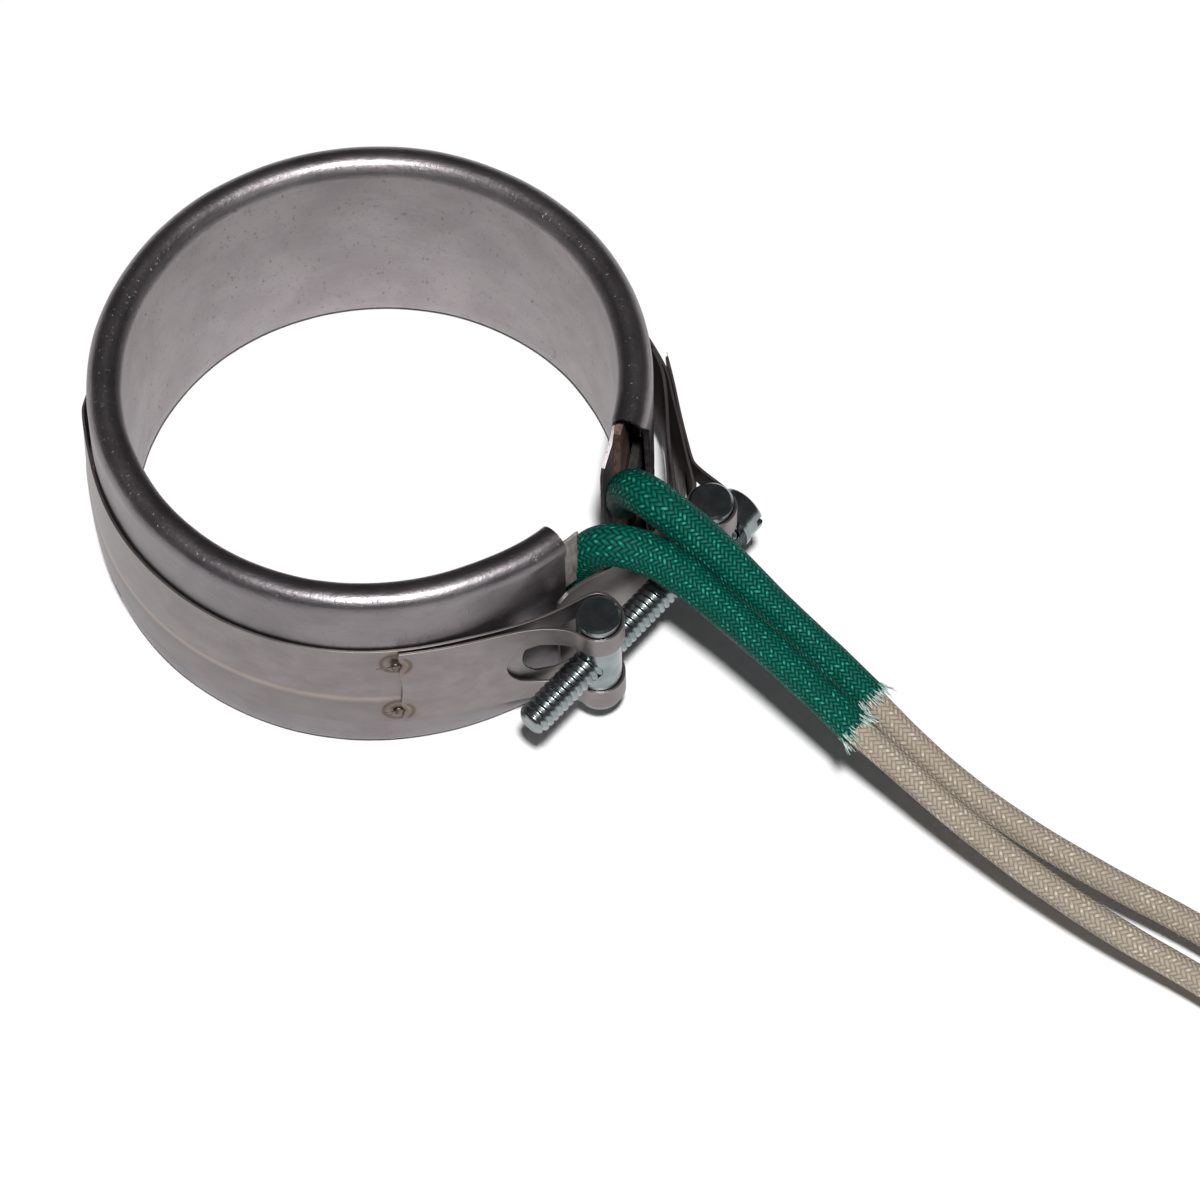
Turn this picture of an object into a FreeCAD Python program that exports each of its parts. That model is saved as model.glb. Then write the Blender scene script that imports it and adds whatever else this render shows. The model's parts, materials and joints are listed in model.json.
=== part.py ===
# Band heater: a flattened stainless tube bent into an open ring holds a mica element. A spot-welded strap
# with a barrel nut in each folded end draws it onto a nozzle with one slotted screw. Two sleeved leads
# leave the ring at its gap.
# Frame: origin on the bore axis at half the band's height, +Z along the bore, +X through the gap,
# +Y from the threaded barrel towards the screw's head. Millimetres.
import FreeCAD
import Part
import math
import os
import Sketcher

Vector = FreeCAD.Vector

SIZES = [
    ("bore_radius", 35.0, "inside of the ring, on the nozzle"),
    ("band_height", 36.4, "ring, edge to edge along the bore"),
    ("band_thickness", 5.1, "flattened tube, inside face to outside face"),
    ("sheath_wall", 0.5, "wall of the flattened tube"),
    ("near_end_angle", 6.6, "ring end at the threaded barrel, degrees before +X"),
    ("far_end_angle", 17.0, "inner wall at the other end, degrees after +X"),
    ("far_cut_angle", 25.0, "where the outer wall is cut back to"),
    ("element_space", 2.0, "between the two mica layers, for the card, ribbon and crimps"),
    ("mica_fit", 0.05, "gap between a mica layer and the sheath wall"),
    ("mica_inset", 1.2, "mica edge to the rounded edge of the sheath"),
    ("mica_setback", 0.5, "mica layer set back behind the sheath's ends, degrees"),
    ("mica_tongue", 3.2, "how far the outer mica shows past the near end, degrees"),
    ("tongue_start", 6.5, "lower edge of that tongue"),
    ("card_sheet", 0.9, "mica card that carries the ribbon"),
    ("card_end_angle", 16.0, "card set back behind each mica end, degrees"),
    ("ribbon_sheet", 0.15, "thickness of the resistance ribbon"),
    ("ribbon_strip", 2.4, "width of the ribbon"),
    ("ribbon_space", 1.2, "space between two runs of the ribbon"),
    ("ribbon_margin", 1.5, "card edge to ribbon edge"),
    ("ribbon_fit", 0.03, "gap between card and ribbon"),
    ("terminal_length", 8.0, "flattened crimp, along the ring"),
    ("terminal_sheet", 1.2, "flattened crimp, through the ring"),
    ("terminal_height", 5.0, "flattened crimp, along the bore"),
    ("conductor_radius", 1.0, "bare strands between crimp and lead"),
    ("conductor_shown", 1.2, "length of bare strands at the crimp"),
    ("joint_gap", 0.02, "left between faces that only meet"),
    ("strap_sheet", 0.4, "clamp strap"),
    ("strap_width", 17.5, "clamp strap along the bore"),
    ("strap_level", -1.35, "middle of the strap's width"),
    ("strap_fit", 0.05, "gap between strap layers and the ring"),
    ("strap_slack", 0.45, "how much further the strap stands off the ring's front"),
    ("barrel_fit", 0.075, "gap between a barrel and the strap round it"),
    ("slot_width", 9.6, "screw slot in the strap ends"),
    ("plate_sheet", 0.5, "bridge plate across the gap"),
    ("barrel_radius", 3.175, "both barrels"),
    ("barrel_length", 20.4, "both barrels"),
    ("barrel_chamfer", 0.35, "edge of a barrel"),
    ("barrel_offset", 7.4, "ring outer face to the barrels' axes, along X"),
    ("near_barrel_y", -6.5, "threaded barrel"),
    ("far_barrel_y", 18.2, "plain barrel"),
    ("screw_radius", 2.4, "over the thread"),
    ("screw_level", -1.3, "screw axis above the ring's mid-height"),
    ("screw_length", 43.6, "under the head"),
    ("tip_radius", 2.02, "flat of the chamfered tip"),
    ("tip_chamfer", 0.8, "chamfered tip along the screw"),
    ("head_radius", 3.7, "slotted head"),
    ("head_height", 3.28, "slotted head"),
    ("head_chamfer", 0.45, "head edge"),
    ("driver_slot", 1.2, "width of the driver slot"),
    ("driver_depth", 1.4, "depth of the driver slot"),
    ("driver_turn", 10.0, "driver slot at rest, degrees from +X"),
    ("thread_fit", 0.03, "screw in the threaded barrel, radial"),
    ("hole_fit", 0.1, "screw in the plain barrel and the washer, radial"),
    ("washer_radius", 4.0, "washer under the head"),
    ("washer_sheet", 0.8, "washer under the head"),
    ("tack_radius", 0.9, "weld tack"),
    ("tack_height", 0.45, "weld tack"),
    ("tack_spread", 11.6, "between the two tacks of a pair"),
    ("lead_radius", 2.05, "lead over its braid"),
    ("sleeve_fit", 0.15, "lead in its sleeve, radial"),
    ("sleeve_wall", 0.4, "glass sleeve"),
    ("coil_radius", 23.0, "outer turn of the stored lead, at its middle"),
    ("coil_entry", 14.3, "end of a loose lead to the coil's middle, along X"),
]

# Route of each lead from its crimp: out of the ring's mouth, up over the bridge plate, out through the
# sleeve, down to the surface and up to its coil.
NEAR_ROUTE = [
    (37.3, -3.3, -3.2), (37.75, -1.2, -2.0), (38.2, 0.3, 1.6), (38.9, 0.7, 6.2), (40.4, 1.1, 9.9),
    (43.4, 2.5, 12.2), (48.0, 4.6, 11.3), (53.0, 5.35, 10.35), (59.0, 5.1, 9.6), (66.5, 4.75, 8.6),
    (75.0, 4.25, 7.2), (83.5, 3.8, 5.2), (92.5, 4.35, 1.6), (103.5, 4.4, -1.4), (117.0, 4.9, -3.9),
    (130.0, 6.4, -6.4), (142.05, 8.9, -8.8), (154.0, 10.8, -12.2), (165.5, 12.0, -15.3),
    (175.8, 12.9, -16.12),
]
FAR_ROUTE = [
    (34.8, 14.6, 1.2), (35.6, 13.4, 3.0), (36.4, 12.8, 5.6), (37.3, 12.4, 8.6), (39.6, 11.75, 11.2),
    (43.8, 11.2, 12.5), (48.8, 11.35, 11.5), (54.5, 11.2, 10.35), (62.8, 10.5, 8.8), (71.3, 10.0, 7.1),
    (79.8, 9.6, 5.0), (89.5, 8.9, 1.6), (100.0, 8.8, -1.5), (112.5, 9.9, -3.9), (125.0, 12.3, -6.3),
    (137.1, 15.3, -8.8), (148.5, 16.4, -10.3), (160.0, 15.9, -11.4), (168.5, 14.4, -11.85),
    (175.8, 12.95, -11.95),
]
SLEEVED_RUNS = (2, 10)  # the sleeve covers these runs of the route, from the first to the last
FAR_SLEEVED_RUNS = (2, 9)

doc = FreeCAD.newDocument("band_heater")
sheet = doc.addObject("Spreadsheet::Sheet", "sizes")
for row, (alias, number, meaning) in enumerate(SIZES, start=1):
    sheet.set(f"A{row}", meaning)
    sheet.set(f"B{row}", str(number))
    sheet.setAlias(f"B{row}", alias)
doc.recompute()
nodes = []


def size(alias):
    return float(sheet.get(alias))


def bound(expression):
    """An expression on the sheet's aliases, with the sheet's name put before each."""
    words = expression.split()
    names = {alias for alias, _, _ in SIZES}
    return " ".join(f"sizes.{word}" if word in names else word for word in words)


def named(thing, label):
    thing.Label = label
    nodes.append(thing)
    return thing


OUTER = "( bore_radius + band_thickness )"
MIDDLE = "( bore_radius + band_thickness / 2 )"
BARREL_X = f"( {OUTER} + barrel_offset )"
outer_radius = size("bore_radius") + size("band_thickness")
barrel_x = outer_radius + size("barrel_offset")
floor = -size("band_height") / 2


# ---------------------------------------------------------------- sketches


def origin_plane(body, role):
    return next(f for f in body.Origin.OriginFeatures if f.Role == role)


def new_sketch(body, name, role):
    sketch = body.newObject("Sketcher::SketchObject", name)
    sketch.AttachmentSupport = [(origin_plane(body, role), "")]
    sketch.MapMode = "FlatFace"
    return sketch


def pin(sketch, geometry, vertex, across, up):
    """Ties a vertex to two expressions, its place across and up from the sketch's origin."""
    for kind, expression in (("DistanceX", across), ("DistanceY", up)):
        number = sketch.addConstraint(
            Sketcher.Constraint(kind, -1, 1, geometry, vertex, value_of(expression))
        )
        sketch.setExpression(f"Constraints[{number}]", bound(expression))


def value_of(expression):
    """The expression's number, for placing geometry before it is constrained."""
    result = sheet.evalExpression(bound(expression))
    return float(getattr(result, "Value", result))


def outline(sketch, corners):
    """A closed outline of straight sides whose corners are pairs of expressions."""
    places = [Vector(value_of(a), value_of(b), 0) for a, b in corners]
    first = sketch.GeometryCount
    count = len(corners)
    for k in range(count):
        sketch.addGeometry(Part.LineSegment(places[k], places[(k + 1) % count]))
    for k in range(count):
        following = first + (k + 1) % count
        sketch.addConstraint(Sketcher.Constraint("Coincident", first + k, 2, following, 1))
    for k, (across, up) in enumerate(corners):
        pin(sketch, first + k, 1, across, up)


def rounded_section(sketch, inside, outside, half):
    """A section with straight sides and half-round ends; half is the height of the straight part."""
    left, right, top = value_of(inside), value_of(outside), value_of(half)
    middle, radius = (left + right) / 2, (right - left) / 2
    first = sketch.GeometryCount
    up = Vector(0, 0, 1)
    sketch.addGeometry(Part.LineSegment(Vector(left, top, 0), Vector(left, -top, 0)))
    below = Part.Circle(Vector(middle, -top, 0), up, radius)
    sketch.addGeometry(Part.ArcOfCircle(below, math.pi, 2 * math.pi))
    sketch.addGeometry(Part.LineSegment(Vector(right, -top, 0), Vector(right, top, 0)))
    above = Part.Circle(Vector(middle, top, 0), up, radius)
    sketch.addGeometry(Part.ArcOfCircle(above, 0, math.pi))
    for k in range(4):
        sketch.addConstraint(Sketcher.Constraint("Coincident", first + k, 2, first + (k + 1) % 4, 1))
    pin(sketch, first, 1, inside, half)
    pin(sketch, first, 2, inside, f"- {half}")
    pin(sketch, first + 2, 1, outside, f"- {half}")
    pin(sketch, first + 2, 2, outside, half)
    for arc, level in ((first + 1, f"- {half}"), (first + 3, half)):
        centre = Sketcher.Constraint("DistanceY", -1, 1, arc, 3, value_of(level))
        number = sketch.addConstraint(centre)
        sketch.setExpression(f"Constraints[{number}]", bound(level))


def disc(sketch, across, up, radius):
    centre = Vector(value_of(across), value_of(up), 0)
    circle = sketch.addGeometry(Part.Circle(centre, Vector(0, 0, 1), value_of(radius)))
    number = sketch.addConstraint(Sketcher.Constraint("Radius", circle, value_of(radius)))
    sketch.setExpression(f"Constraints[{number}]", bound(radius))
    pin(sketch, circle, 3, across, up)


def revolve(body, sketch, sweep):
    """Turns the sketch about its own upright axis through sweep degrees."""
    turned = body.newObject("PartDesign::Revolution", f"{body.Name}_turned")
    turned.Profile = sketch
    turned.ReferenceAxis = (sketch, ["V_Axis"])
    turned.setExpression("Angle", bound(sweep))
    return turned


def cut_through(body, sketch, name):
    """Cuts the sketch's outline right through the body, both ways."""
    before = body.Shape.Volume
    pocket = body.newObject("PartDesign::Pocket", name)
    pocket.Profile = sketch
    pocket.Type = "ThroughAll"
    pocket.Midplane = True
    doc.recompute()
    if body.Shape.Volume > before - 0.01:
        raise RuntimeError(f"{name} cuts nothing")
    return pocket


# ---------------------------------------------------------------- ring


RING_SWEEP = "360 - far_end_angle - near_end_angle"


def turned_to(body, angle):
    """Sets a turned body so that it starts at this angle round the bore."""
    body.setExpression("Placement.Rotation.Angle", bound(angle))
    body.Placement = FreeCAD.Placement(Vector(), FreeCAD.Rotation(Vector(0, 0, 1), value_of(angle)))


def make_sheath():
    body = doc.addObject("PartDesign::Body", "sheath")
    section = new_sketch(body, "sheath_section", "XZ_Plane")
    half = "( band_height / 2 - band_thickness / 2 )"
    rounded_section(section, "bore_radius", OUTER, half)
    inside = "( bore_radius + sheath_wall )"
    rounded_section(section, inside, f"( {OUTER} - sheath_wall )", half)
    revolve(body, section, RING_SWEEP)
    doc.recompute()
    cut = new_sketch(body, "far_mouth", "XY_Plane")
    reach = f"( {OUTER} + 3 )"
    start = "( bore_radius + 2 * sheath_wall )"
    span = "( far_cut_angle - far_end_angle )"
    outline(
        cut,
        [
            (start, "- 5"),
            (reach, "- 5"),
            (f"{reach} * cos( 1deg * {span} )", f"{reach} * sin( 1deg * {span} )"),
            (f"{start} * cos( 1deg * {span} )", f"{start} * sin( 1deg * {span} )"),
        ],
    )
    cut_through(body, cut, "far_mouth_cut")
    turned_to(body, "far_end_angle")
    return named(body, "sheath")


INNER_MICA = "( bore_radius + sheath_wall + mica_fit )"
OUTER_MICA = f"( {MIDDLE} + element_space / 2 )"
MICA_SHEET = "( band_thickness / 2 - sheath_wall - mica_fit - element_space / 2 )"
MICA_HALF = "( band_height / 2 - band_thickness / 2 - mica_inset )"


def make_layer(name, inside, sheet_size, sweep, start):
    """A flat layer bent round the bore: a rectangle turned about the bore axis."""
    body = doc.addObject("PartDesign::Body", name)
    section = new_sketch(body, f"{name}_section", "XZ_Plane")
    outside = f"( {inside} + {sheet_size} )"
    low, high = f"- {MICA_HALF}", MICA_HALF
    outline(section, [(inside, low), (outside, low), (outside, high), (inside, high)])
    revolve(body, section, sweep)
    doc.recompute()
    turned_to(body, start)
    return named(body, name)


def make_micas():
    start = "far_cut_angle + mica_setback"
    sweep = "360 - far_cut_angle - near_end_angle - 2 * mica_setback"
    make_layer("inner_mica", INNER_MICA, MICA_SHEET, sweep, start)
    sweep = "360 - far_cut_angle - near_end_angle - mica_setback + mica_tongue"
    outer = make_layer("outer_mica", OUTER_MICA, MICA_SHEET, sweep, start)
    # below the tongue the layer ends inside the sheath, behind the lead
    trim = new_sketch(outer, "tongue_trim", "XZ_Plane")
    low = f"( - {MICA_HALF} - 1 )"
    near, beyond = "( bore_radius - 3 )", f"( {OUTER} + 3 )"
    outline(trim, [(near, low), (beyond, low), (beyond, "tongue_start"), (near, "tongue_start")])
    groove = outer.newObject("PartDesign::Groove", "tongue_groove")
    groove.Profile = trim
    groove.ReferenceAxis = (trim, ["V_Axis"])
    groove.setExpression("Angle", bound("far_cut_angle + near_end_angle + 2 * mica_setback"))
    groove.Reversed = True
    doc.recompute()


CARD = f"( {MIDDLE} - card_sheet / 2 )"
CARD_SWEEP = "360 - far_cut_angle - near_end_angle - 2 * card_end_angle"
CARD_START = "far_cut_angle + card_end_angle"


def make_card():
    make_layer("element_card", CARD, "card_sheet", CARD_SWEEP, CARD_START)


def bent_box(inside, outside, low, high, start, end):
    """A block bent round the bore, between two radii, two levels and two angles in degrees."""
    block = Part.makeCylinder(outside, high - low, Vector(0, 0, low), Vector(0, 0, 1), end - start)
    core = Part.makeCylinder(inside, high - low + 2, Vector(0, 0, low - 1), Vector(0, 0, 1))
    block = block.cut(core)
    block.rotate(Vector(), Vector(0, 0, 1), start)
    return block


def make_ribbon():
    """One ribbon laid to and fro over the card: a bent sheet slotted from its two edges in turn."""
    inside = value_of(CARD) + size("card_sheet") + size("ribbon_fit")
    outside = inside + size("ribbon_sheet")
    half = value_of(MICA_HALF) - size("ribbon_margin")
    start, sweep = value_of(CARD_START) + 1.0, value_of(CARD_SWEEP) - 2.0
    degrees = 180 / (math.pi * inside)
    pitch = (size("ribbon_strip") + size("ribbon_space")) * degrees
    count = int(sweep / pitch)
    ribbon = bent_box(inside, outside, -half, half, start, start + count * pitch)
    slots = []
    for k in range(1, count):
        middle = start + k * pitch
        reach = size("ribbon_space") * degrees / 2
        low, high = -half - 1, half - size("ribbon_strip")
        if k % 2:
            low, high = -high, -low
        slots.append(bent_box(inside - 1, outside + 1, low, high, middle - reach, middle + reach))
    thing = doc.addObject("Part::Feature", "heating_ribbon")
    thing.Shape = ribbon.cut(slots)
    thing.Placement = FreeCAD.Placement()
    return named(thing, "heating_ribbon")


# ---------------------------------------------------------------- routes and bent strips


def corner_arc(before, corner, after, radius=None):
    """Start, middle and end of the arc that rounds a corner, its radius, and the centre."""
    incoming = (corner - before).normalize()
    outgoing = (after - corner).normalize()
    turn = incoming.getAngle(outgoing)
    if radius is None:
        shorter = min((corner - before).Length, (after - corner).Length)
        radius = 0.45 * shorter / math.tan(turn / 2)
    reach = radius * math.tan(turn / 2)
    start, end = corner - incoming * reach, corner + outgoing * reach
    inward = (outgoing - incoming).normalize()
    centre = corner + inward * (radius / math.cos(turn / 2))
    return start, centre - inward * radius, end, radius, centre


def route_edges(points):
    """Straight runs joined by tangent arcs: run, arc, run, arc ... run. Also the arcs' radii."""
    places = [Vector(*p) for p in points]
    edges, radii, last = [], [], places[0]
    for before, corner, after in zip(places, places[1:], places[2:]):
        start, middle, end, radius, _ = corner_arc(before, corner, after)
        edges.append(Part.LineSegment(last, start).toShape())
        edges.append(Part.Arc(start, middle, end).toShape())
        radii.append(radius)
        last = end
    edges.append(Part.LineSegment(last, places[-1]).toShape())
    return edges, radii


def tube(edges, radius):
    """A round rod along the edges, compared with its section times its length."""
    start = edges[0].Vertexes[0].Point
    direction = edges[0].tangentAt(edges[0].FirstParameter)
    section = Part.Wire([Part.Circle(start, direction, radius).toShape()])
    rod = Part.Wire(edges).makePipeShell([section], True, False)
    expected = math.pi * radius**2 * sum(edge.Length for edge in edges)
    if abs(rod.Volume / expected - 1) > 0.02:
        raise RuntimeError("a tube's volume is not its section times its length")
    return rod


def strip(corners, thickness, low, width):
    """A sheet strip stood on edge along a plan of corners (point, radius or None)."""
    arcs = []
    places = [Vector(p.x, p.y, low) for p, _ in corners]
    for k in range(1, len(corners) - 1):
        arcs.append(corner_arc(places[k - 1], places[k], places[k + 1], corners[k][1]))
    sides = []
    for side in (thickness / 2, -thickness / 2):
        edges, last = [], None
        for k, (start, middle, end, radius, centre) in enumerate(arcs):
            incoming = (places[k + 1] - places[k]).normalize()
            outgoing = (places[k + 2] - places[k + 1]).normalize()
            first = start + Vector(-incoming.y, incoming.x, 0) * side
            final = end + Vector(-outgoing.y, outgoing.x, 0) * side
            left = 1 if incoming.cross(outgoing).z > 0 else -1
            halfway = centre + (middle - centre).normalize() * (radius - left * side)
            if last is None:
                last = places[0] + Vector(-incoming.y, incoming.x, 0) * side
            if (first - last).Length > 1e-4:
                edges.append(Part.LineSegment(last, first))
            else:
                first = last
            edges.append(Part.Arc(first, halfway, final))
            last = final
        outgoing = (places[-1] - places[-2]).normalize()
        tip = places[-1] + Vector(-outgoing.y, outgoing.x, 0) * side
        edges.append(Part.LineSegment(last, tip))
        sides.append(edges)
    ends = [
        Part.LineSegment(sides[0][0].StartPoint, sides[1][0].StartPoint),
        Part.LineSegment(sides[0][-1].EndPoint, sides[1][-1].EndPoint),
    ]
    wire = Part.Wire(Part.__sortEdges__([e.toShape() for e in sides[0] + sides[1] + ends]))
    return Part.Face(wire).extrude(Vector(0, 0, width))


def polar(angle, radius):
    return Vector(radius * math.cos(math.radians(angle)), radius * math.sin(math.radians(angle)), 0)


def beyond_tangent(angle, radius, run):
    """The point a run further clockwise along the tangent of a circle round the bore."""
    along = Vector(math.sin(math.radians(angle)), -math.cos(math.radians(angle)), 0)
    return polar(angle, radius) + along * run


def ring_corners(radius, start, end, count):
    """Corners whose rounded path is the circle itself, clockwise from one tangent point to another."""
    step = (start - end) / count
    out = radius / math.cos(math.radians(step / 2))
    return [(polar(start - (k + 0.5) * step, out), radius) for k in range(count)]


def strap_plan():
    """The strap's middle line: from the near weld round the threaded barrel, round the ring and back
    round the plain barrel to the far weld. It is a little loose in front, up to a bend on the left."""
    sheet_size, fit = size("strap_sheet"), size("strap_fit")
    on_ring = outer_radius + fit + sheet_size / 2
    loose = on_ring + size("strap_slack")
    wrap = size("barrel_radius") + size("barrel_fit") + sheet_size / 2
    near = Vector(barrel_x, size("near_barrel_y"), 0)
    far = Vector(barrel_x, size("far_barrel_y"), 0)

    def standing(angle, stand):
        return polar(angle, outer_radius + stand)

    plan = [
        (standing(-43.9, 1.2), None),
        (standing(-37.0, 1.33), None),
        (standing(-29.8, 1.65), None),
        (standing(-23.0, 2.3), None),
        (near + Vector(-wrap - 2.05, -wrap - 2.75, 0), None),
        (near + Vector(-wrap + 1.85, -wrap, 0), 4.0),
        (near + Vector(wrap, -wrap, 0), wrap),
        (near + Vector(wrap, wrap + 0.85, 0), wrap - 0.05),
        (near + Vector(-wrap + 0.7, wrap + 0.85, 0), 1.5),
        (near + Vector(-wrap - 0.85, 0.1, 0), None),
        (near + Vector(-wrap - 2.65, -wrap - 1.25, 0), None),
        (beyond_tangent(-36.0, loose, -8.0), None),
    ]
    plan += ring_corners(loose, -36.0, -128.0, 4)
    plan += [
        (beyond_tangent(-128.0, loose, 8.5), None),
        (beyond_tangent(-156.0, on_ring, -8.5), None),
    ]
    plan += ring_corners(on_ring, -156.0, -290.0, 5)
    plan += [
        (beyond_tangent(70.0, on_ring, 13.7), None),
        (standing(43.2, 2.7), None),
        (standing(36.9, 3.68), None),
        (standing(30.07, 5.3), None),
        (far + Vector(-wrap - 2.65, wrap - 0.55, 0), None),
        (far + Vector(-wrap, 0.7, 0), 0.9),
        (far + Vector(-wrap, -wrap, 0), wrap - 0.05),
        (far + Vector(wrap + 0.1, -wrap, 0), wrap),
        (far + Vector(wrap + 0.1, wrap + 0.35, 0), wrap + 0.05),
        (far + Vector(-wrap - 2.75, wrap + 0.45, 0), None),
        (standing(30.1, 5.9), None),
        (standing(33.2, 4.97), None),
        (standing(39.8, 3.6), None),
        (standing(47.9, 3.0), None),
        (standing(52.4, 2.86), None),
    ]
    return plan


def slot_tool(angle, end, towards):
    """A long round-ended slot through the strap, square to the bore at an angle. It ends at a distance
    along the tangent there and runs from it towards +1 or -1, past the barrel."""
    half = size("slot_width") / 2
    level = size("strap_level")
    radial, deep, run = outer_radius - 3, 24.0, 6 * size("barrel_radius")
    centre = end + towards * half
    low = min(centre, centre + towards * run)
    tool = Part.makeBox(deep, run, 2 * half, Vector(radial, low, level - half))
    tool = tool.fuse(Part.makeCylinder(half, deep, Vector(radial, centre, level), Vector(1, 0, 0)))
    tool.rotate(Vector(), Vector(0, 0, 1), angle)
    return tool


def make_strap():
    width, level = size("strap_width"), size("strap_level")
    band = strip(strap_plan(), size("strap_sheet"), level - width / 2, width)
    near_slot, far_slot = slot_tool(-21.0, -1.4, 1), slot_tool(36.0, -0.7, -1)
    band = band.cut([near_slot, far_slot])
    strap = doc.addObject("Part::Feature", "clamp_strap")
    strap.Shape = band.Solids[0] if len(band.Solids) == 1 else band
    strap.Placement = FreeCAD.Placement()
    return named(strap, "clamp_strap")


def make_plate():
    """The strip that bridges the gap under the strap, welded with it at the far side."""
    plan = [(54.9, 1.2), (50.9, 1.85), (43.2, 1.85), (35.5, 2.1), (30.6, 2.76), (25.3, 4.1), (20.4, 5.6),
            (12.8, 5.0), (5.9, 3.9), (0.4, 2.8), (-3.0, 1.85), (-6.6, 1.65), (-10.6, 1.57)]
    width, level = size("strap_width"), size("strap_level")
    corners = [(polar(angle, outer_radius + stand), None) for angle, stand in plan]
    plate = doc.addObject("Part::Feature", "bridge_plate")
    plate.Shape = strip(corners, size("plate_sheet"), level - width / 2, width)
    plate.Placement = FreeCAD.Placement()
    return named(plate, "bridge_plate")


def make_tacks(name, angle, stand):
    """Two weld tacks on the strap, just past the end of its outer layer."""
    pair = []
    for k, side in enumerate((-1, 1)):
        tack = doc.addObject("Part::Cylinder", f"{name}_{k + 1}")
        tack.setExpression("Radius", bound("tack_radius"))
        tack.setExpression("Height", bound("tack_height"))
        level = size("strap_level") + side * size("tack_spread") / 2
        foot = polar(angle, outer_radius + stand) + Vector(0, 0, level)
        turn = FreeCAD.Rotation(Vector(0, 0, 1), polar(angle, 1))
        tack.Placement = FreeCAD.Placement(foot, turn)
        pair.append(tack)
    group = doc.addObject("Part::Compound", name)
    group.Links = pair
    return named(group, name)


# ---------------------------------------------------------------- clamp hardware


def make_barrel(name, y_alias, hole):
    """A chamfered pin with a cross hole for the screw."""
    body = doc.addObject("PartDesign::Body", name)
    section = new_sketch(body, f"{name}_section", "XZ_Plane")
    half = "( barrel_length / 2 )"
    edge = "( barrel_radius - barrel_chamfer )"
    corner = f"( {half} - barrel_chamfer )"
    outline(
        section,
        [("0", f"- {half}"), (edge, f"- {half}"), ("barrel_radius", f"- {corner}"),
         ("barrel_radius", corner), (edge, half), ("0", half)],
    )
    revolve(body, section, "360")
    doc.recompute()
    drill = new_sketch(body, f"{name}_hole", "XZ_Plane")
    disc(drill, "0", "0", hole)
    cut_through(body, drill, f"{name}_drilled")
    body.setExpression("Placement.Base.x", bound(BARREL_X))
    body.setExpression("Placement.Base.y", bound(y_alias))
    body.setExpression("Placement.Base.z", bound("screw_level"))
    return named(body, name)


WASHER_FACE = "( far_barrel_y + barrel_radius + joint_gap )"
HEAD_FACE = f"( {WASHER_FACE} + washer_sheet + joint_gap )"


def on_screw_axis(body, y_expression):
    """Stands a body turned about its own Z on the screw's axis, its +Z towards the head."""
    body.Placement = FreeCAD.Placement(Vector(), FreeCAD.Rotation(Vector(1, 0, 0), -90))
    body.setExpression("Placement.Base.x", bound(BARREL_X))
    body.setExpression("Placement.Base.y", bound(y_expression))
    body.setExpression("Placement.Base.z", bound("screw_level"))


def make_washer():
    body = doc.addObject("PartDesign::Body", "screw_washer")
    section = new_sketch(body, "washer_section", "XZ_Plane")
    hole = "( screw_radius + hole_fit )"
    outline(
        section,
        [(hole, "0"), ("washer_radius", "0"), ("washer_radius", "washer_sheet"), (hole, "washer_sheet")],
    )
    revolve(body, section, "360")
    doc.recompute()
    on_screw_axis(body, WASHER_FACE)
    return named(body, "screw_washer")


def make_screw():
    """Slotted cheese-head screw with a chamfered tip. The thread is its outside cylinder."""
    body = doc.addObject("PartDesign::Body", "clamp_screw")
    section = new_sketch(body, "screw_section", "XZ_Plane")
    top = "head_height"
    outline(
        section,
        [("0", "- screw_length"), ("tip_radius", "- screw_length"),
         ("screw_radius", "( - screw_length + tip_chamfer )"), ("screw_radius", "0"),
         ("head_radius", "0"), ("head_radius", "( head_height - head_chamfer )"),
         ("( head_radius - head_chamfer )", top), ("0", top)],
    )
    revolve(body, section, "360")
    doc.recompute()
    slot = new_sketch(body, "driver_slot_outline", "XZ_Plane")
    half, low, high = "( driver_slot / 2 )", "( head_height - driver_depth )", "( head_height + 1 )"
    outline(slot, [(f"- {half}", low), (half, low), (half, high), (f"- {half}", high)])
    cut_through(body, slot, "driver_slot_cut")
    turn = FreeCAD.Rotation(Vector(1, 0, 0), -90) * FreeCAD.Rotation(Vector(0, 0, 1), 90)
    turn = FreeCAD.Rotation(Vector(0, 1, 0), -size("driver_turn")) * turn
    on_screw_axis(body, HEAD_FACE)
    body.Placement.Rotation = turn
    return named(body, "clamp_screw")


# ---------------------------------------------------------------- leads


def make_crimp(side, route):
    """The flattened crimp between the micas and the bare strands that join it to the lead."""
    start = Vector(*route[0])
    direction = (Vector(*route[1]) - start).normalize()
    stub = doc.addObject("Part::Cylinder", f"{side}_conductor")
    stub.setExpression("Radius", bound("conductor_radius"))
    stub.setExpression("Height", bound("conductor_shown"))
    foot = start - direction * (size("conductor_shown") + size("joint_gap"))
    stub.Placement = FreeCAD.Placement(foot, FreeCAD.Rotation(Vector(0, 0, 1), direction))
    named(stub, f"{side}_conductor")
    crimp = doc.addObject("Part::Box", f"{side}_terminal")
    crimp.setExpression("Length", bound("terminal_sheet"))
    crimp.setExpression("Width", bound("terminal_length"))
    crimp.setExpression("Height", bound("terminal_height"))
    towards = 1 if direction.y > 0 else -1
    angle = math.degrees(math.atan2(foot.y, foot.x))
    length = size("terminal_length")
    middle = angle - towards * math.degrees((length / 2 + 1.1) / value_of(MIDDLE))
    turn = FreeCAD.Rotation(Vector(0, 0, 1), middle)
    inset = Vector(-size("terminal_sheet") / 2, -length / 2, -size("terminal_height") / 2)
    centre = polar(middle, value_of(MIDDLE)) + Vector(0, 0, foot.z)
    crimp.Placement = FreeCAD.Placement(centre + turn.multVec(inset), turn)
    return named(crimp, f"{side}_terminal")


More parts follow.
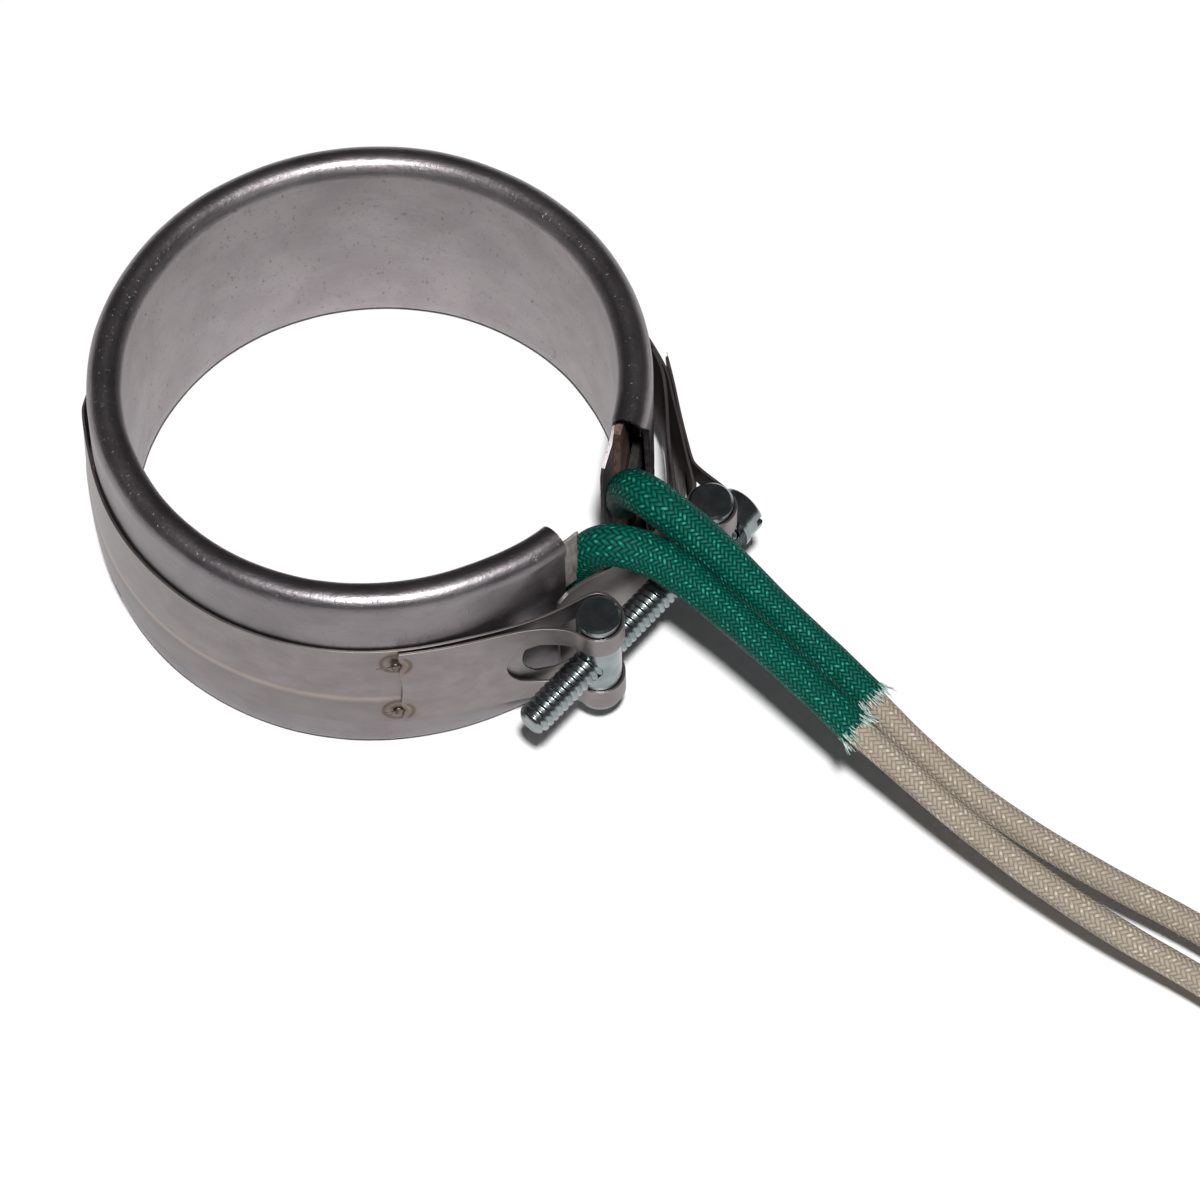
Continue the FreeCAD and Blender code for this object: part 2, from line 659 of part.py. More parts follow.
def make_lead(side, route, sleeved):
    edges, radii = route_edges(route)
    print(f"{side} lead", round(sum(e.Length for e in edges), 1), "mm, arc radii",
          [round(r, 1) for r in radii])
    lead = doc.addObject("Part::Feature", f"{side}_lead")
    lead.Shape = tube(edges, size("lead_radius"))
    lead.Placement = FreeCAD.Placement()
    named(lead, f"{side}_lead")
    covered = edges[2 * sleeved[0] : 2 * sleeved[1] + 1]
    bore = size("lead_radius") + size("sleeve_fit")
    sleeve = doc.addObject("Part::Feature", f"{side}_sleeve")
    sleeve.Shape = tube(covered, bore + size("sleeve_wall")).cut(tube(covered, bore))
    sleeve.Placement = FreeCAD.Placement()
    named(sleeve, f"{side}_sleeve")


def make_coil(side, route, layer):
    """The stored end of a lead, one flat turn and its overlap, in a layer of its own."""
    radius, half = size("coil_radius"), size("lead_radius")
    level = floor + layer * (2 * half + size("joint_gap"))
    centre = Vector(route[-1][0] + size("coil_entry"), NEAR_ROUTE[-1][1] + radius, level)
    rim = doc.addObject("Part::Cylinder", f"{side}_coil_rim")
    rim.setExpression("Radius", bound("coil_radius + lead_radius"))
    hole = doc.addObject("Part::Cylinder", f"{side}_coil_hole")
    hole.setExpression("Radius", bound("coil_radius - 3 * lead_radius"))
    for part in (rim, hole):
        part.setExpression("Height", bound("2 * lead_radius"))
        part.Placement = FreeCAD.Placement(centre, FreeCAD.Rotation())
    coil = doc.addObject("Part::Cut", f"{side}_coil")
    coil.Base = rim
    coil.Tool = hole
    return named(coil, f"{side}_coil")


make_sheath()
make_micas()
make_card()
make_ribbon()
make_strap()
make_plate()
tack_stand = size("strap_fit") + size("strap_slack") + size("strap_sheet") + size("joint_gap")
make_tacks("near_welds", -45.4, tack_stand)
make_barrel("threaded_barrel", "near_barrel_y", "( screw_radius + thread_fit )")
make_barrel("plain_barrel", "far_barrel_y", "( screw_radius + hole_fit )")
make_washer()
make_screw()
make_crimp("near", NEAR_ROUTE)
make_crimp("far", FAR_ROUTE)
make_lead("near", NEAR_ROUTE, SLEEVED_RUNS)
make_lead("far", FAR_ROUTE, FAR_SLEEVED_RUNS)
make_coil("near", NEAR_ROUTE, 0)
make_coil("far", FAR_ROUTE, 1)
doc.recompute()

for thing in doc.Objects:
    if {"Invalid", "Error"} & set(thing.State):
        raise RuntimeError(f"{thing.Name} did not build: {thing.State}")
for node in nodes:
    if node.Shape.isNull() or not node.Shape.isValid():
        raise RuntimeError(f"{node.Label} has no valid shape")

os.makedirs("parts", exist_ok=True)
for node in nodes:
    node.Shape.exportStep(f"parts/{node.Label}.step")
    print(node.Label, len(node.Shape.Solids), round(node.Shape.Volume, 1))
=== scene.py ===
import json
import math
import random

import bmesh
import bpy
from mathutils import Matrix, Vector, noise


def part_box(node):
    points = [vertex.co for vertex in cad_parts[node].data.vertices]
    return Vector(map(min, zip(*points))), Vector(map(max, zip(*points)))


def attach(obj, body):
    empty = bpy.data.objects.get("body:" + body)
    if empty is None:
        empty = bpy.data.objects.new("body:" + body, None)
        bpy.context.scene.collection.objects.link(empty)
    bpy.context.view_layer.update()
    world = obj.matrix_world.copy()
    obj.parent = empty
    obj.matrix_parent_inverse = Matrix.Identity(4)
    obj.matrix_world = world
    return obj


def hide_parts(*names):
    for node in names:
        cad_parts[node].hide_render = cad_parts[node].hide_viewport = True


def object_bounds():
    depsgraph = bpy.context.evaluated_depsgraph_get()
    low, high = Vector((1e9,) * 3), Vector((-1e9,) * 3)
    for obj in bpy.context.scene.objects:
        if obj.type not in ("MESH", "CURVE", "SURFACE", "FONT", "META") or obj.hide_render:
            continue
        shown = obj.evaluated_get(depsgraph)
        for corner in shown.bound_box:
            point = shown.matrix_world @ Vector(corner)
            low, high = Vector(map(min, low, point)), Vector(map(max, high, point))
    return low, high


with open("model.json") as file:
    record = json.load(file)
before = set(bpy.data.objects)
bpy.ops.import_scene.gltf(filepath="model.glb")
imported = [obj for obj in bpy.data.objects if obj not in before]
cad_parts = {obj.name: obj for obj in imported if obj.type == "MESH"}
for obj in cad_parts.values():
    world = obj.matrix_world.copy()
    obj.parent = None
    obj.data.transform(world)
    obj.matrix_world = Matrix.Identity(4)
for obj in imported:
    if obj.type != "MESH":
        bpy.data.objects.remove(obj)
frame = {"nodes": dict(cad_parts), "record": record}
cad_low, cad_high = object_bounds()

MM = 0.001
HEATER, SCREW = "heater", "screw"
FLOOR_LEVEL = cad_low.z


def middle(node):
    low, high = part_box(node)
    return (Vector(low) + Vector(high)) / 2


sheath_low, sheath_high = (Vector(corner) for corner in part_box("sheath"))
strap_low, strap_high = (Vector(corner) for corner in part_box("clamp_strap"))
screw_low, screw_high = (Vector(corner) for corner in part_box("clamp_screw"))
near_barrel = middle("threaded_barrel")
far_barrel = middle("plain_barrel")
bore = frame["record"]["mounts"][0]
BORE_RADIUS = bore["dims"]["r_mm"] * MM
OUTER_RADIUS = -sheath_low.y
TUBE_THICKNESS = OUTER_RADIUS - BORE_RADIUS
BAND_TOP = sheath_high.z


# ---------------------------------------------------------------- shader sums


class Flow:
    """A socket of a material, for sums written in Python."""

    def __init__(self, shade, socket):
        self.shade = shade
        self.socket = socket

    def sum(self, operation, *others):
        values = dict(enumerate((self, *others)))
        return self.shade.node("ShaderNodeMath", {"operation": operation}, values)

    def turned(self, operation, other):
        return self.shade.node("ShaderNodeMath", {"operation": operation}, {0: other, 1: self})

    def __add__(self, other):
        return self.sum("ADD", other)

    def __mul__(self, other):
        return self.sum("MULTIPLY", other)

    def __sub__(self, other):
        return self.sum("SUBTRACT", other)

    def __rsub__(self, other):
        return self.turned("SUBTRACT", other)

    def __truediv__(self, other):
        return self.sum("DIVIDE", other)

    def __pow__(self, other):
        return self.sum("POWER", other)

    def __lt__(self, other):
        return self.sum("LESS_THAN", other)

    __radd__ = __add__
    __rmul__ = __mul__

    def sine(self):
        return self.sum("SINE")

    def size(self):
        return self.sum("ABSOLUTE")

    def whole(self):
        return self.sum("FLOOR")

    def rest(self):
        return self.sum("FRACT")

    def least(self, other):
        return self.sum("MINIMUM", other)

    def step(self, low, high):
        """0 below low, 1 above high and smooth between."""
        settings = {"interpolation_type": "SMOOTHSTEP"}
        return self.shade.node("ShaderNodeMapRange", settings, {"Value": self, 1: low, 2: high})

    def blend(self, dark, light):
        """The colour that this factor picks between two colours."""
        return self.shade.node("ShaderNodeMix", {"data_type": "RGBA"}, {0: self, 6: dark, 7: light}, 2)

    def part(self, index):
        """The x, y or z of a vector."""
        return self.shade.node("ShaderNodeSeparateXYZ", {}, {0: self}, index)


class Shade:
    """A material whose Principled shader is fed by named sockets."""

    def __init__(self, name, plain):
        self.material = bpy.data.materials.new(name)
        self.material.use_nodes = True
        self.tree = self.material.node_tree
        self.surface = self.tree.nodes["Principled BSDF"]
        self.feed(plain)

    def node(self, kind, settings, values, output=0):
        node = self.tree.nodes.new(kind)
        for key, value in settings.items():
            setattr(node, key, value)
        for key, value in values.items():
            self.join(node.inputs[key], value)
        return Flow(self, node.outputs[output])

    def join(self, socket, value):
        if isinstance(value, Flow):
            self.tree.links.new(value.socket, socket)
        elif isinstance(value, tuple) and len(value) == 3 and socket.type == "RGBA":
            socket.default_value = (*value, 1.0)
        else:
            socket.default_value = value

    def feed(self, values):
        for key, value in values.items():
            self.join(self.surface.inputs[key], value)

    def place(self, *scale):
        """Object coordinates in millimetres times a scale along each axis."""
        scale = scale * 3 if len(scale) == 1 else scale
        spot = self.node("ShaderNodeTexCoord", {}, {}, 3)
        factor = tuple(s / MM for s in scale)
        return self.node("ShaderNodeVectorMath", {"operation": "MULTIPLY"}, {0: spot, 1: factor})

    def flat(self):
        """The piece's own UV map: along and across a strip in millimetres, or for a tube the turn
        round it, 0 to 1, and the length in millimetres."""
        return self.node("ShaderNodeUVMap", {"uv_map": "UVMap"}, {})

    def vector(self, x, y, z):
        return self.node("ShaderNodeCombineXYZ", {}, {0: x, 1: y, 2: z})

    def noise(self, vector, scale=1.0, detail=3.0, roughness=0.5):
        values = {"Vector": vector, "Scale": scale, "Detail": detail, "Roughness": roughness}
        return self.node("ShaderNodeTexNoise", {}, values)

    def cells(self, vector, scale):
        return self.node("ShaderNodeTexVoronoi", {}, {"Vector": vector, "Scale": scale})

    def reach(self, point):
        """Distance in millimetres from a point given in metres."""
        target = tuple(c / MM for c in point)
        values = {0: self.place(1), 1: target}
        return self.node("ShaderNodeVectorMath", {"operation": "DISTANCE"}, values, 1)

    def bump(self, height, depth):
        """Feeds the normal from a height of 0 to 1, depth in millimetres."""
        values = {"Strength": 1.0, "Distance": depth * MM, "Height": height}
        self.feed({"Normal": self.node("ShaderNodeBump", {}, values)})


# ---------------------------------------------------------------- finishes

METAL = {"Metallic": 1.0}
YARN = {"Metallic": 0.0}
LEAF = {"IOR": 1.58}
CREASE_HEIGHT = -4.05  # the strap's faint crease, in millimetres above mid-height
CREASE_FADE = (46.0, 66.0)  # where along the strap the crease comes in, in millimetres


def tube_steel():
    """Rolled stainless tube: blotched and dull inside, with a painted lighter tone on the inner wall for
    the light it catches, polished along its rounded edges.
    """
    shade = Shade("tube_steel", METAL)
    spot = shade.place(1)
    x, y, z = (spot.part(k) for k in range(3))
    radius = (x * x + y * y) ** 0.5
    round_bore = x.sum("ARCTAN2", y) * (BORE_RADIUS / MM)
    unrolled = shade.vector(round_bore, z, radius)
    blotch = shade.noise(unrolled, 0.11, 4.0, 0.6)
    grain = shade.noise(shade.vector(round_bore * 0.25, z * 2.2, radius), 1.0, 4.0, 0.65)
    speck = shade.noise(unrolled, 1.6, 2.0, 0.6).step(0.66, 0.74)
    upright = shade.vector(round_bore * 0.9, z * 0.16, radius * 0.4)
    scratch = shade.noise(upright, 2.4, 3.0, 0.7).step(0.62, 0.72)
    edge = z.size().step(14.0, 16.4)
    inside = radius.step(BORE_RADIUS / MM + 1.2, BORE_RADIUS / MM + 0.3)
    drawn_out = shade.vector(round_bore * 1.1, z * 0.5, radius)
    fleck = shade.noise(drawn_out, 1.3, 4.0, 0.7).step(0.58, 0.72)
    tone = blotch.step(0.3, 0.72).blend((0.205, 0.185, 0.195), (0.265, 0.242, 0.252))
    # painted light: the inner wall is given a paler tone for the light and floor that it reflects
    tone = inside.blend(tone, blotch.step(0.3, 0.72).blend((0.30, 0.272, 0.278), (0.38, 0.348, 0.355)))
    tone = (fleck * inside * 0.6).blend(tone, (0.12, 0.10, 0.10))
    tone = (speck * 0.5).blend(tone, (0.09, 0.08, 0.08))
    dull = 0.34 + grain * 0.14 + inside * 0.12 - edge * 0.06 + blotch * 0.08
    shade.feed({"Base Color": tone, "Roughness": dull})
    pebble = shade.noise(unrolled, 1.1, 4.0, 0.7)
    shade.bump(grain * 0.5 + scratch * 0.5 + blotch * 1.2 + pebble * 0.9, 0.06)
    return shade.material


def strip_steel(name, tacks):
    """Rolled stainless strip with rolling lines along it. One with weld tacks has a faint crease, drawn
    as a painted highlight along it with painted shade below it, dark notches at the first two tacks and
    browning round them all."""
    shade = Shade(name, METAL)
    flat = shade.flat()
    along, across = flat.part(0), flat.part(1)
    lines = shade.noise(shade.vector(along * 0.02, across * 2.6, 0.0), 1.0, 4.0, 0.6)
    smear = shade.noise(shade.vector(along * 0.35, across * 0.5, 0.0), 0.6, 4.0, 0.6)
    scratch = shade.noise(shade.vector(along * 0.12, across * 1.3, 3.0), 1.7, 3.0, 0.7).step(0.64, 0.72)
    tone = smear.step(0.25, 0.75).blend((0.215, 0.188, 0.188), (0.275, 0.245, 0.242))
    dull = 0.32 + lines * 0.12 + smear * 0.10
    if tacks:
        wander = shade.noise(shade.vector(along * 0.05, 0.0, 0.0)) * 0.5
        crease = (across - CREASE_HEIGHT + wander).size()
        # painted highlight: a pale line along the crease, where the fold catches the light
        crease_highlight = crease.step(0.9, 0.05) * along.step(*CREASE_FADE) * (0.4 + smear)
        tone = (crease_highlight * 0.6).blend(tone, (0.44, 0.36, 0.30))
        # painted shade on the strip where it tilts inwards below the crease
        below = (CREASE_HEIGHT - across).step(0.0, 1.2) * along.step(*CREASE_FADE)
        tone = (below * 0.35).blend(tone, (0.19, 0.175, 0.185))
        near = shade.reach(tacks[0])
        for tack in tacks[1:]:
            near = near.least(shade.reach(tack))
        near = near + shade.noise(flat, 0.9, 3.0) * 1.6
        straw = near.step(4.6, 1.6)
        brown = near.step(2.4, 0.9)
        first_two = shade.reach(tacks[0]).least(shade.reach(tacks[1]))
        notch = (first_two - 2.1).size().step(0.5, 0.1)
        tone = (notch * along.step(0.4, 1.0) * 0.75).blend(tone, (0.06, 0.04, 0.03))
        tone = (straw * 0.6).blend(tone, (0.20, 0.145, 0.10))
        tone = (brown * 0.8).blend(tone, (0.05, 0.035, 0.028))
        dull = dull + brown * 0.2
    shade.feed({"Base Color": tone, "Roughness": dull})
    shade.bump(lines * 0.5 + scratch * 0.4 + smear * 0.8, 0.02)
    return shade.material


def zinc_plate():
    """Bright zinc with a faint blue cast and fine frosting."""
    shade = Shade("zinc_plate", METAL)
    spot = shade.place(1)
    frost = shade.noise(spot, 2.2, 4.0, 0.65)
    patch = shade.noise(spot, 0.35, 2.0)
    tone = patch.step(0.3, 0.7).blend((0.215, 0.255, 0.26), (0.30, 0.335, 0.335))
    shade.feed({"Base Color": tone, "Roughness": 0.16 + frost * 0.16})
    shade.bump(frost, 0.012)
    return shade.material


def mica():
    """Brown mica sheet in thin leaves."""
    shade = Shade("mica", LEAF)
    spot = shade.place(1)
    leaf = shade.noise(shade.place(1.4, 1.4, 0.5), 1.0, 5.0, 0.65)
    flake = shade.cells(spot, 0.7).step(0.1, 0.7)
    tone = leaf.step(0.3, 0.7).blend((0.085, 0.045, 0.028), (0.20, 0.13, 0.095))
    shade.feed({"Base Color": tone, "Roughness": 0.35 + flake * 0.3})
    shade.bump(leaf + flake * 0.3, 0.08)
    return shade.material


def pale_mica():
    """The weathered leaf that shows past the ring's end, grey and slightly see-through."""
    shade = Shade("pale_mica", LEAF)
    leaf = shade.noise(shade.place(1.0, 1.0, 0.35), 1.2, 5.0, 0.7)
    tone = leaf.step(0.3, 0.7).blend((0.15, 0.13, 0.12), (0.34, 0.31, 0.30))
    shade.feed({"Base Color": tone, "Roughness": 0.3 + leaf * 0.25})
    shade.bump(leaf, 0.06)
    return shade.material


def plain_finish(name, dark, light, dull, kind=METAL):
    """One substance with a fine mottle between two colours."""
    shade = Shade(name, kind)
    fine = shade.noise(shade.place(1), 1.5, 4.0, 0.6)
    tone = fine.step(0.3, 0.7).blend(dark, light)
    shade.feed({"Base Color": tone, "Roughness": dull + fine * 0.15})
    shade.bump(fine, 0.015)
    return shade.material


def braid_weave(shade, carriers, cell):
    """Over-and-under plait on a tube's UV map: carriers is the yarns round it and cell a crossing's
    length in millimetres. Gives the height, 0 to 1, and a vector of its own for each yarn float."""
    flat = shade.flat()
    turn, length = flat.part(0) * carriers, flat.part(1) / cell
    left, right = turn + length, turn - length
    crossing = ((left.whole() + right.whole()) * 0.25).rest()
    on_top = crossing < 0.49
    left_bow = (left.rest() * math.pi).sine()
    right_bow = (right.rest() * math.pi).sine()
    float_left = ((right + left.whole()) * 0.5).rest()
    float_right = ((left + right.whole()) * 0.5).rest()
    arch_left = (float_left * math.pi).sine()
    arch_right = (float_right * math.pi).sine()
    over = left_bow ** 0.6 * (0.45 + arch_left * 0.55)
    under = right_bow ** 0.6 * (0.45 + arch_right * 0.55)
    height = on_top * over + (1 - on_top) * under
    float_number = shade.vector(left.whole(), right.whole(), on_top * 7.0)
    return height, float_number


def braid(name, carriers, cell, colours, sheen_dull):
    """A glass yarn plait: painted shade deep between the yarns, darker near its root, a painted sheen on
    the crowns and a painted glint on some.
    """
    deep, body, crown_sheen, yarn_glint = colours
    shade = Shade(name, {"Specular IOR Level": 0.12})
    height, number = braid_weave(shade, carriers, cell)
    own = shade.node("ShaderNodeTexWhiteNoise", {"noise_dimensions": "3D"}, {"Vector": number})
    patch = shade.noise(shade.place(0.12), 1.0, 3.0, 0.6).step(0.3, 0.7)
    # painted shade: darker between the yarns, where they dip under one another
    tone = height.step(0.15, 0.6).blend(deep, body)
    # painted sheen, patchy, on the yarns' crowns
    tone = (height.step(0.55, 0.95) * (0.25 + patch * 0.75)).blend(tone, crown_sheen)
    # painted glint on some of the crowns
    tone = (height.step(0.6, 0.9) * own.step(0.72, 0.97) * 0.8).blend(tone, yarn_glint)
    root = shade.flat().part(1).step(4.0, 13.0)
    tone = (root * 0.7 + 0.3).blend(deep, tone)
    shade.feed({"Base Color": tone, "Roughness": sheen_dull + own * 0.15})
    shade.bump(height, 0.14)
    return shade.material


# ---------------------------------------------------------------- making pieces


def new_object(name, mesh):
    """Puts a finished bmesh into the scene."""
    data = bpy.data.meshes.new(name)
    mesh.to_mesh(data)
    mesh.free()
    thing = bpy.data.objects.new(name, data)
    bpy.context.collection.objects.link(thing)
    return thing


def piece(name, mesh, material, slot, body=HEATER, replaces=()):
    """Makes a finished bmesh a piece with smooth faces that rides on a body."""
    thing = new_object(name, mesh)
    thing.data.shade_smooth()
    thing.data.materials.append(material)
    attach(thing, body)
    if replaces:
        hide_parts(*replaces)
    return thing


def add_modifier(thing, kind, **settings):
    modifier = thing.modifiers.new(kind.title(), kind)
    for key, value in settings.items():
        setattr(modifier, key, value)


def soften_edges(thing, width):
    add_modifier(
        thing, "BEVEL", width=width, segments=2, limit_method="ANGLE", harden_normals=True,
        angle_limit=math.radians(40), use_clamp_overlap=True,
    )


def spline_points(points, closely=12):
    """Points along the smooth NURBS spline that has these control points."""
    curve = bpy.data.curves.new("line", "CURVE")
    curve.dimensions = "3D"
    curve.resolution_u = closely
    spline = curve.splines.new("NURBS")
    spline.points.add(len(points) - 1)
    for spot, point in zip(spline.points, points):
        spot.co = (*point, 1.0)
    spline.order_u = 3
    spline.use_endpoint_u = True
    holder = bpy.data.objects.new("line", curve)
    mesh = bpy.data.meshes.new_from_object(holder)
    line = [v.co.copy() for v in mesh.vertices]
    bpy.data.objects.remove(holder)
    bpy.data.curves.remove(curve)
    bpy.data.meshes.remove(mesh)
    return line


class Line:
    """A line that can be asked for its place, direction and side at any length along it."""

    def __init__(self, points):
        self.points = points
        self.marks = [0.0]
        for before, after in zip(points, points[1:]):
            self.marks.append(self.marks[-1] + (after - before).length)
        self.length = self.marks[-1]
        # sideways directions, carried along without twisting
        self.sides = []
        side = self.direction(0).orthogonal().normalized()
        for k in range(len(points)):
            direction = self.direction(k)
            side = (side - direction * side.dot(direction)).normalized()
            self.sides.append(side)

    def direction(self, k):
        first, last = max(k - 1, 0), min(k + 1, len(self.points) - 1)
        return (self.points[last] - self.points[first]).normalized()

    def at(self, length):
        """Place, direction and side, by the run that holds this length."""
        length = min(max(length, 0.0), self.length)
        low, high = 0, len(self.marks) - 1
        while high - low > 1:
            half = (low + high) // 2
            if self.marks[half] <= length:
                low = half
            else:
                high = half
        share = (length - self.marks[low]) / max(self.marks[high] - self.marks[low], 1e-9)
        place = self.points[low].lerp(self.points[high], share)
        direction = self.direction(low).lerp(self.direction(high), share).normalized()
        side = self.sides[low].lerp(self.sides[high], share)
        return place, direction, (side - direction * side.dot(direction)).normalized()


def flat_grid(columns, rows):
    """A grid whose vertices run from 0 to 1 along X and along Y."""
    mesh = bmesh.new()
    move = Matrix.Translation((0.5, 0.5, 0.0))
    bmesh.ops.create_grid(mesh, x_segments=columns, y_segments=rows, size=0.5, matrix=move)
    mesh.loops.layers.uv.new("UVMap")
    return mesh


def write_uv(mesh, x_scale, y_scale):
    """Keeps the flat places of a grid's vertices, scaled, as its UV map."""
    layer = mesh.loops.layers.uv.active
    for face in mesh.faces:
        for loop in face.loops:
            loop[layer].uv = (loop.vert.co.x * x_scale, loop.vert.co.y * y_scale)


def tube(name, line, start, end, shape, around, spacing, material, slot, **riding):
    """A closed-ended tube along part of a line. shape(length, turn) is its radius."""
    reach = end - start
    mesh = flat_grid(around, int(reach / spacing))
    write_uv(mesh, 1.0, reach / MM)
    for vertex in mesh.verts:
        turn, length = vertex.co.x, start + vertex.co.y * reach
        place, direction, side = line.at(length)
        other = direction.cross(side)
        angle = turn * math.tau
        vertex.co = place + (side * math.cos(angle) + other * math.sin(angle)) * shape(length, turn)
    bmesh.ops.remove_doubles(mesh, verts=mesh.verts, dist=0.001 * MM)
    bmesh.ops.holes_fill(mesh, edges=[e for e in mesh.edges if e.is_boundary], sides=around + 2)
    bmesh.ops.recalc_face_normals(mesh, faces=mesh.faces)
    return piece(name, mesh, material, slot, **riding)


def fibres(name, roots, material, slot, **riding):
    """Tapered hairs. Each root is a place, a direction, a length and a radius, all in metres."""
    mesh = bmesh.new()
    for place, direction, length, radius in roots:
        turn = direction.to_track_quat("Z", "Y").to_matrix().to_4x4()
        move = Matrix.Translation(place + direction * (length / 2)) @ turn
        bmesh.ops.create_cone(
            mesh, cap_ends=True, segments=5, radius1=radius, radius2=radius * 0.4, depth=length,
            matrix=move,
        )
    return piece(name, mesh, material, slot, **riding)


# ---------------------------------------------------------------- leads and sleeves

LEAD_RADIUS = 2.05 * MM
COIL_RADIUS = 23.0 * MM
NEAR_SLEEVE_END, FAR_SLEEVE_END = 61.8 * MM, 57.0 * MM  # lengths along the leads
SLEEVE_RADIUS, SLEEVE_SWELL, SLEEVE_FLARE = 2.46, 0.58, 0.16  # in millimetres
FRAY_FIBRES, HAIRS, STRANDS = 90, 26, 19
# Control points in millimetres, from the crimp to where the coil begins.
NEAR_ROUTE = [
    (37.3, -3.3, -3.2), (37.75, -1.2, -2.0), (38.2, 0.3, 1.6), (38.9, 0.7, 6.2), (40.4, 1.1, 9.9),
    (43.4, 2.5, 12.2), (48.0, 4.6, 11.3), (53.0, 5.35, 10.35), (59.0, 5.1, 9.6), (66.5, 4.75, 8.6),
    (75.0, 4.25, 7.2), (83.5, 3.8, 5.2), (92.5, 4.35, 1.6), (103.5, 4.4, -1.4), (117.0, 4.9, -3.9),
    (130.0, 6.4, -6.4), (142.05, 8.9, -8.8), (154.0, 10.8, -12.2), (165.5, 12.0, -15.3),
    (175.8, 12.9, -16.12),
]
FAR_ROUTE = [
    (34.8, 14.6, 1.2), (35.6, 13.4, 3.0), (36.4, 12.8, 5.6), (37.3, 12.4, 8.6), (39.6, 11.75, 11.2),
    (43.8, 11.2, 12.5), (48.8, 11.35, 11.5), (54.5, 11.2, 10.35), (62.8, 10.5, 8.8), (71.3, 10.0, 7.1),
    (79.8, 9.6, 5.0), (89.5, 8.9, 1.6), (100.0, 8.8, -1.5), (112.5, 9.9, -3.9), (125.0, 12.3, -6.3),
    (137.1, 15.3, -8.8), (148.5, 16.4, -10.3), (160.0, 15.9, -11.4), (168.5, 14.4, -11.85),
    (175.8, 12.95, -11.95),
]


def coil_points(node):
    """One flat turn inside a coil's solid, wound inwards by a lead's width."""
    low, high = (Vector(corner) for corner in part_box(node))
    centre = (low + high) / 2
    count, turns = 18, 0.99
    step = math.tau * turns / count
    points = []
    for k in range(1, count + 1):
        share = k / count
        radius = (COIL_RADIUS - 2 * LEAD_RADIUS * share * turns) / math.cos(step / 2)
        angle = -math.pi / 2 + step * (k - 0.2)
        points.append(centre + Vector((math.cos(angle), math.sin(angle), 0)) * radius)
    return points


def make_lead(side, route, sleeve_end, seed):
    """A lead, its sleeve, the sleeve's cut strands, the lead's bare end and its stray hairs."""
    points = [Vector(p) * MM for p in route] + coil_points(f"{side}_coil")
    line = Line(spline_points(points))

    def lead_shape(length, turn):
        return LEAD_RADIUS * (0.975 + 0.02 * noise.noise((length / MM * 0.22, turn * 3, 5.0)))

    lead = tube(
        f"{side}_lead_braid", line, 0.0, line.length, lead_shape, 20, 0.8 * MM,
        finish["glass_braid"], "glass_braid", replaces=(f"{side}_lead", f"{side}_coil"),
    )

    def sleeve_shape(length, turn):
        arch = 1.0 - min(max((length / MM - 22.0) / 20.0, 0.0), 1.0)
        root = min(length / MM / 6.0, 1.0)
        swell = SLEEVE_SWELL * arch * arch * (3 - 2 * arch) * (0.45 + 0.55 * root)
        radius = SLEEVE_RADIUS + swell
        radius += SLEEVE_FLARE * math.exp(-((sleeve_end - length) / MM / 1.4))
        radius += 0.05 * noise.noise((length / MM * 0.3, math.cos(turn * math.tau), seed))
        return radius * MM

    sleeve = tube(
        f"{side}_sleeve_braid", line, 0.3 * MM, sleeve_end, sleeve_shape, 48, 0.35 * MM,
        finish["green_braid"], "green_sleeve", replaces=(f"{side}_sleeve",),
    )
    draw = random.Random(11 + int(seed)).uniform
    roots = []
    for _ in range(FRAY_FIBRES):
        place, direction, aside = line.at(sleeve_end - draw(0.0, 1.0) * MM)
        other = direction.cross(aside)
        angle = draw(0, math.tau)
        out = aside * math.cos(angle) + other * math.sin(angle)
        lean = direction + out * draw(-0.15, 0.55) + Vector((0, 0, draw(-0.2, 0.3)))
        start = place + out * sleeve_shape(sleeve_end, 0) * draw(0.9, 1.0)
        roots.append((start, lean.normalized(), draw(0.8, 2.4) * MM, draw(0.05, 0.13) * MM))
    fray = fibres(f"{side}_sleeve_fray", roots, finish["cut_strands"], "green_sleeve")
    place, direction, aside = line.at(line.length)
    strands = []
    for k in range(STRANDS):
        angle, out = k * 2.4, 0.22 * math.sqrt(k) * MM
        offset = aside * math.cos(angle) * out + direction.cross(aside) * math.sin(angle) * out
        lean = (direction + offset * 90).normalized()
        strands.append((place + offset - direction * MM, lean, draw(6.0, 7.0) * MM, 0.13 * MM))
    bare = fibres(f"{side}_lead_strands", strands, finish["copper"], "nickel")
    hairs = []
    for _ in range(HAIRS):
        place, direction, aside = line.at(draw(sleeve_end + 2 * MM, line.length * 0.6))
        angle = draw(0, math.tau)
        out = aside * math.cos(angle) + direction.cross(aside) * math.sin(angle)
        lean = (out + direction * draw(-1, 1)).normalized()
        hairs.append((place + out * LEAD_RADIUS * 0.95, lean, draw(0.3, 0.9) * MM, 0.03 * MM))
    stray = fibres(f"{side}_lead_hairs", hairs, finish["loose_yarn"], "glass_braid")
    [line.at(line.length * k / 400)[0] for k in range(401)]


# ---------------------------------------------------------------- ring

NEAR_END = math.radians(-6.6)
FAR_CUT = 17.0  # degrees: the tongue's tip, the furthest that the torn far end reaches
FAR_END = math.radians(FAR_CUT)
FAR_REACH, NEAR_REACH = 14.0, 30.0  # degrees of the ring that its ends' shapes take in
SHEATH_WALL = 0.5 * MM


def smooth(value, low, high):
    share = min(max((value - low) / (high - low), 0.0), 1.0)
    return share * share * (3 - 2 * share)


